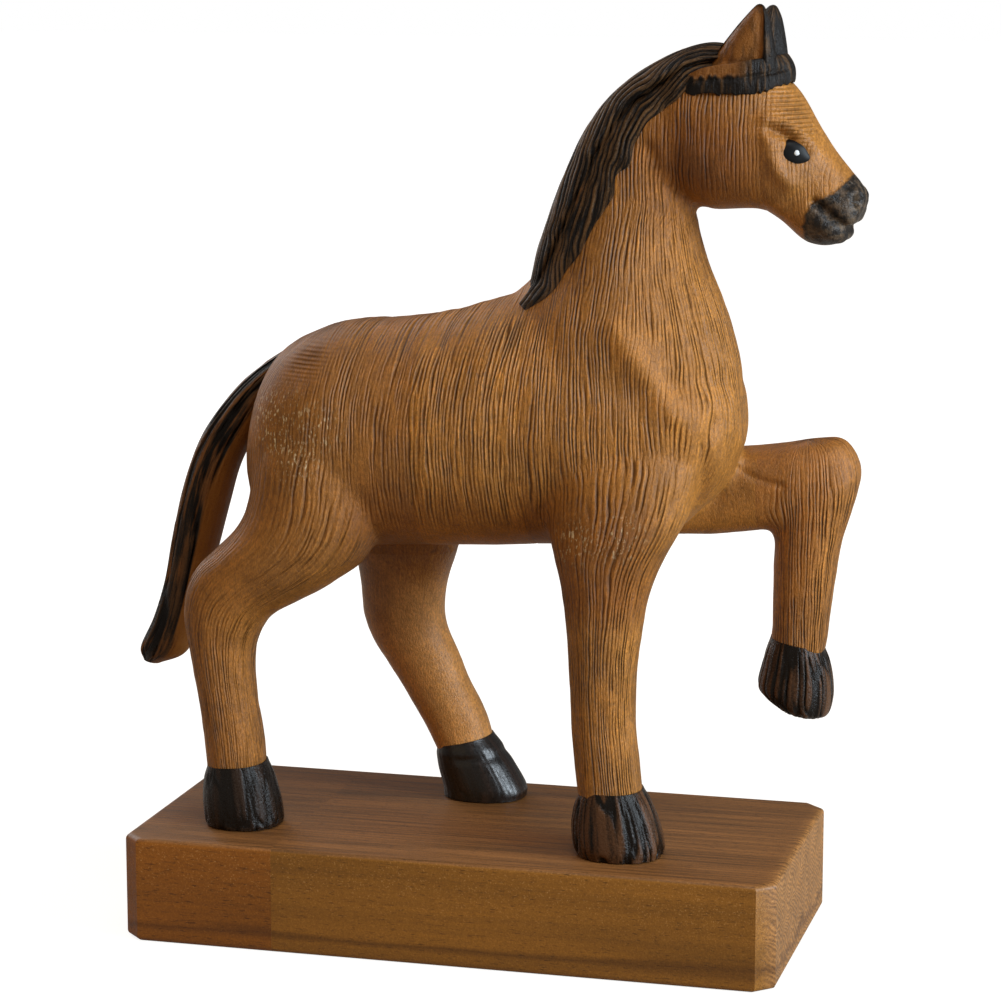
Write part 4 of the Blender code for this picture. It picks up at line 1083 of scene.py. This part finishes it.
def ear(sign):
    """Ear: the rib row's skin with a dish pressed into its outer side, natural wood inside and dark rims."""
    grid = skin(RIGHT_EAR, 16, 120)
    turn = around(grid.shape[1])
    rise = np.linspace(0, 1, len(grid))[:, None]
    facing = np.cos(turn - 1.5 * math.pi - 0.42)
    dish = smoothstep(facing, 0.3, 0.65) * smoothstep(rise, 0.02, 0.12) * smoothstep(1 - rise, 0.06, 0.24)
    grid[..., 1] += dish * 2.1 * (1 - 0.6 * rise)
    rough = hashed_noise(grid / (2.2, 2.2, 4), 41)
    grid[..., 1] += 0.25 * rough * np.sign(np.sin(turn))
    smudge = hashed_noise(grid / (0.7, 0.7, 3), 42)
    smudged = 0.5 * smoothstep(smudge - 0.5 * rise, -0.5, 0.5)
    paint = 1 - smoothstep(dish + 0.2 * rough, 0.3, 0.75) * (1 - smudged)
    finish = together(0.5 + 0.4 * rough, paint, 0.3 + 0.2 * rough)
    grain = together(turn * 5, rise * 17, 5)
    return grid * (1, sign, 1) + (0.5 * (sign < 0), 0, -0.6 * (sign < 0)), finish, grain


def hoof(ribs, grooving, seed, band=0.0):
    """Hoof: the rib row's skin with a ledge at its top and irregular upright grooves, where stretched noise
    crosses zero. The band is a bell-shaped hollow under the top, deepest in front."""
    grid = skin(ribs, 16, 180)
    turn = around(grid.shape[1])
    outward = grid - grid.mean(axis=1, keepdims=True)
    outward[..., 2] = 0
    outward /= np.linalg.norm(outward, axis=2)[..., None]
    rise = np.linspace(1, 0, len(grid))[:, None]
    lines = hashed_noise(together(np.cos(turn) * 6.5, np.sin(turn) * 6.5, rise * 1.7), seed)
    groove = np.exp(-(lines / 0.18) ** 2)
    ledge = smoothstep(rise, 0.86, 1.0)
    hollow = band * np.exp(-((rise - 0.8) / 0.05) ** 2) * smoothstep(np.cos(turn), -0.6, 0.3)
    grid = grid + outward * (-0.42 * grooving * groove * (1 - ledge) - 0.5 * ledge - hollow)[..., None]
    grain = together(np.cos(turn) * 8, rise * 16, np.sin(turn) * 8 + seed)
    return grid, together(1 - groove, 1, 0.45 + 0.3 * lines), grain


def tail():
    """Tail: the rib row's skin with long grooves, blackened on its outer side and natural wood inside."""
    grid = skin(TAIL, 18, 120)
    turn = around(grid.shape[1])
    rise = np.linspace(0, 1, len(grid))[:, None]
    outward = grid - grid.mean(axis=1, keepdims=True)
    outward /= np.maximum(np.linalg.norm(outward, axis=2), 1e-6)[..., None]
    spots = together(np.cos(turn) * 4.2 + rise * 1.5, np.sin(turn) * 4.2, rise * 5)
    lines = hashed_noise(spots, 51)
    finer = hashed_noise(spots * (2.3, 2.3, 1.6), 52)
    ridge = np.minimum(1, np.abs(lines) * 2.4)
    broken = hashed_noise(together(np.cos(turn) * 9, np.sin(turn) * 9, rise * 7), 53)
    inside = smoothstep(-np.cos(turn) + 0.2 * broken, 0.4, 0.52)
    cut = (0.8 * (ridge - 0.8) + 0.15 * finer) * (1 - 0.85 * inside) * smoothstep(1 - rise, 0, 0.05)
    grid = grid + outward * np.minimum(cut, 0)[..., None]
    grain = together(np.cos(turn) * 8, rise * 105, np.sin(turn) * 8)
    return grid, together(ridge, 1 - inside, 0.55 + 0.3 * finer), grain


def eye(points, normals, sign, radii, bulge, lift, name, material):
    """Dab of enamel on the head: an oval dome, r cos by r sin over the skin's tangents, thickest inside."""
    centre = np.array(EYE) * (1, sign, 1)
    near = np.argmin(np.linalg.norm(points - centre, axis=1))
    out = normals[near]
    slope = np.array((0.95, 0, -0.3))
    forward = slope - out * (out @ slope)
    forward /= np.linalg.norm(forward)
    up = np.cross(out, forward)
    up *= np.sign(up[2])
    radius, turn = np.meshgrid(np.linspace(0.02, 1, 14), around(48), indexing="ij")
    outline = 1 + 0.05 * np.cos(3 * turn + 0.6) + 0.03 * np.cos(5 * turn)
    right = (radius * np.cos(turn) * outline * radii[0])[..., None] * forward
    rise = (radius * np.sin(turn) * outline * radii[1])[..., None] * up
    dome = (lift + bulge * (1 - radius ** 2) - 1.2 * radius ** 8)[..., None] * out
    mesh = new_mesh(name, *capped_tube(points[near] + right + rise + dome))
    finish_mesh(mesh, 60)
    return add_piece(mesh, material)


def stained_piece(name, shape, material, crease=60):
    """Piece of a closed grid of rings and its finish values."""
    grid, finish, grain = shape
    mesh = new_mesh(name, *capped_tube(grid))
    add_attribute(mesh, "finish", finish.reshape(-1, 3))
    add_attribute(mesh, "grain", grain.reshape(-1, 3))
    finish_mesh(mesh, crease)
    return add_piece(mesh, material)


def plinth_outline():
    """Rings of the plinth: its plan, with cut corners, drawn in by a quarter circle at each arris."""
    half = np.array((PLINTH_HIGH.x - PLINTH_LOW.x, PLINTH_HIGH.y - PLINTH_LOW.y)) / 2 / MM
    corner = 4.3
    arris = 1.4
    quarter = np.array(((half[0], half[1] - corner), (half[0] - corner, half[1])))
    plan = np.vstack((quarter, quarter[::-1] * (-1, 1), quarter * (-1, -1), quarter[::-1] * (1, -1)))
    spans = [np.linspace(a, b, 40, endpoint=False) for a, b in zip(plan, np.roll(plan, -1, axis=0))]
    outline = np.vstack(spans)
    bend = np.linspace(0, math.pi / 2, 6)
    inset = arris * (1 - np.sin(bend))
    height = arris * (1 - np.cos(bend))
    thick = (PLINTH_HIGH.z - PLINTH_LOW.z) / MM
    inset = np.concatenate((inset, inset[::-1]))[:, None, None]
    level = np.concatenate((height, thick - height[::-1]))
    shrink = 1 - inset / half
    rings = outline[None] * shrink
    level = np.broadcast_to(level[:, None, None] - thick, (*rings.shape[:2], 1))
    return np.concatenate((rings - (0, DRAWING_ORIGIN[1]), level), axis=2)


def plinth_pieces():
    """The plinth's two blocks: its closed rings cut at the glue line, each half filled at the cut."""
    blocks = (("plinth_long_block", "plinth_main_block", 1, planed_teak("planed_teak_long", "9C6724", 0.2)),
              ("plinth_short_block", "plinth_end_block", -1, planed_teak("planed_teak_short", "985B1B", 1.7)))
    for name, node, sign, material in blocks:
        mesh = new_mesh(name, *capped_tube(plinth_outline()))
        work = bmesh.new()
        work.from_mesh(mesh)
        everything = work.verts[:] + work.edges[:] + work.faces[:]
        bmesh.ops.bisect_plane(work, geom=everything, plane_co=(PLINTH_JOINT + sign * 0.01 * MM, 0, 0),
                               plane_no=(-sign, 0, 0), clear_outer=True)
        work.to_mesh(mesh)
        work.free()
        finish_mesh(mesh, 30)
        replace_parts(add_piece(mesh, material), node)


# Stage

# Half the floor's width in metres
FLOOR_REACH = 6

# How much of their white the gloss sees of floor and world, and how brightly the world lights the horse
FLOOR_GLOSS = 0.18
WORLD_GLOSS = 0.13
WORLD_LIGHT = 0.15

# Lamps: name, place and size in metres, power in watts and tone; all aim at the same place
LAMPS = (
    ("key", (1.272, -0.27, 0.47), 0.7, 21.5, "E4F3FF"),
    ("top", (0.2, -0.5, 1.2), 0.8, 5, "FFFFFF"),
    ("fill", (-0.5, -1.1, 0.5), 0.8, 0.7, "FFD9A0"),
    ("back", (-1.0, 0.8, 0.6), 0.8, 5.5, "FFFFFF"),
)
LAMP_AIM = Vector((0, 0, 0.12))

# Camera, solved from the plinth's corners: turn and rise in degrees, its place to the right, up and back
# of the origin in mm, and its focal length and the picture's width in pixels
CAMERA_TURN, CAMERA_RISE = 14.9446, 10.2443
CAMERA_RIGHT, CAMERA_UP, CAMERA_BACK = 5.328, 109.151, 842.6
FOCAL_PIXELS, PICTURE_PIXELS = 3240, 1001


def background_rays(add):
    """Shares of rays that see the background: straight from the camera, and in gloss or through glass."""
    seen, glossy, through = (
        add("LightPath", out=name) for name in ("Is Camera Ray", "Is Glossy Ray", "Is Transmission Ray"))
    return seen, add("Math", {0: glossy, 1: through}, operation="MAXIMUM")


def studio_floor():
    """Pale floor, flat to the horizon: matt, with a glow for the camera and in gloss that is less near the
    object, so that its shadow shows."""
    mesh = bpy.data.meshes.new("floor")
    corners = [(x * FLOOR_REACH, y * FLOOR_REACH, 0) for x, y in ((-1, -1), (1, -1), (1, 1), (-1, 1))]
    mesh.from_pydata(corners, [], [(0, 1, 2, 3)])
    floor = bpy.data.objects.new("floor", mesh)
    bpy.context.scene.collection.objects.link(floor)
    material, shader, add = new_material("matt_white_floor")
    seen, mirrored = background_rays(add)
    mirrored = add("Math", {0: mirrored, 1: FLOOR_GLOSS}, operation="MULTIPLY")
    seen = add("Math", {0: seen, 1: mirrored}, operation="MAXIMUM")
    place = add("TexCoord", out="Object")
    away = add("VectorMath", {0: place}, out="Value", operation="LENGTH")
    lift = add("MapRange", {0: away, 1: 0.1, 2: 0.5, 3: 0.88, 4: 1.0})
    glow = add("Math", {0: seen, 1: lift}, operation="MULTIPLY")
    set_inputs(shader, {"Base Color": colour("9A948A"), "Roughness": 0.9, "Emission Color": colour("FFFFFF"),
                        "Emission Strength": glow})
    mesh.materials.append(material)


def studio_light():
    """Warm surroundings, white to the camera, and large soft lamps: key at the right, top light,
    weak fill at the left and a back light for the far side."""
    world = bpy.data.worlds.new("studio")
    bpy.context.scene.world = world
    world.use_nodes = True
    add = partial(add_node, world.node_tree)
    seen, mirrored = background_rays(add)
    strength = add("MapRange", {0: mirrored, 3: WORLD_LIGHT, 4: WORLD_GLOSS})
    strength = add("Math", {0: strength, 1: seen}, operation="MAXIMUM")
    white = add("Math", {0: mirrored, 1: seen}, operation="MAXIMUM")
    tint = add("Mix", {0: white, 6: colour("FFC26E"), 7: colour("FFFFFF")}, **IN_COLOUR)
    set_inputs(world.node_tree.nodes["Background"], {"Color": tint, "Strength": strength})
    for name, spot, size, watts, tone in LAMPS:
        lamp = bpy.data.lights.new(name, "AREA")
        lamp.size = size
        lamp.energy = watts
        lamp.color = colour(tone)[:3]
        holder = bpy.data.objects.new(name, lamp)
        holder.location = spot
        holder.rotation_euler = (LAMP_AIM - Vector(spot)).to_track_quat("-Z", "Y").to_euler()
        bpy.context.scene.collection.objects.link(holder)


def photo_camera():
    """Camera of the photograph: on the horse's right, a little ahead of square and a little above."""
    turn, rise = math.radians(CAMERA_TURN), math.radians(CAMERA_RISE)
    back = Vector((math.sin(turn) * math.cos(rise), -math.cos(turn) * math.cos(rise), math.sin(rise)))
    right = Vector((math.cos(turn), math.sin(turn), 0))
    up = back.cross(right)
    spot = right * CAMERA_RIGHT * MM + up * CAMERA_UP * MM + back * CAMERA_BACK * MM
    camera = bpy.data.cameras.new("camera")
    camera.sensor_width = 36
    camera.lens = FOCAL_PIXELS / PICTURE_PIXELS * camera.sensor_width
    holder = bpy.data.objects.new("camera", camera)
    holder.matrix_world = Matrix((right, up, back)).transposed().to_4x4()
    holder.location = spot
    bpy.context.scene.collection.objects.link(holder)
    bpy.context.scene.camera = holder


points, normals, quads, board, planes, attributes = carved_body()
body_pieces(points, quads, board, planes, attributes)
stains = {name: stained_teak(f"black_stained_teak_{name}", *values) for name, values in STAINS.items()}
for name, shape, stain in (
    ("mane", mane(points), "hair"),
    ("forelock", forelock(), "hair"),
    ("right_ear", ear(1), "hair"),
    ("left_ear", ear(-1), "hair"),
    ("right_fore_hoof", hoof(RIGHT_FORE_HOOF, 1.4, 61), "hoof"),
    ("right_hind_hoof", hoof(RIGHT_HIND_HOOF, 0.7, 62), "granular"),
    ("left_hind_hoof", hoof(LEFT_HIND_HOOF, 0.2, 63, 0.35), "polished"),
    ("raised_hoof", hoof(RAISED_HOOF, 1.1, 64), "hoof"),
):
    stained_piece(name, shape, stains[stain])
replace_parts(stained_piece("carved_tail", tail(), stains["tail"]), "tail")
black_enamel = eye_enamel("black_enamel", "0B0B0C")
white_enamel = eye_enamel("white_enamel", "E9EEF0")
for side_name, sign in (("right", 1), ("left", -1)):
    eye(points, normals, sign, (4.4, 3.1), 0.75, 0.3, f"{side_name}_eye", black_enamel)
    eye(points, normals, sign, (0.9, 0.9), 0.25, 1.02, f"{side_name}_eye_glint", white_enamel)
plinth_pieces()
beech = dowel_beech()
for name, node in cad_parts.items():
    if "dowel" in name:
        node.data.materials.clear()
        node.data.materials.append(beech)
studio_floor()
studio_light()
photo_camera()
bpy.context.scene.view_settings.view_transform = "Standard"
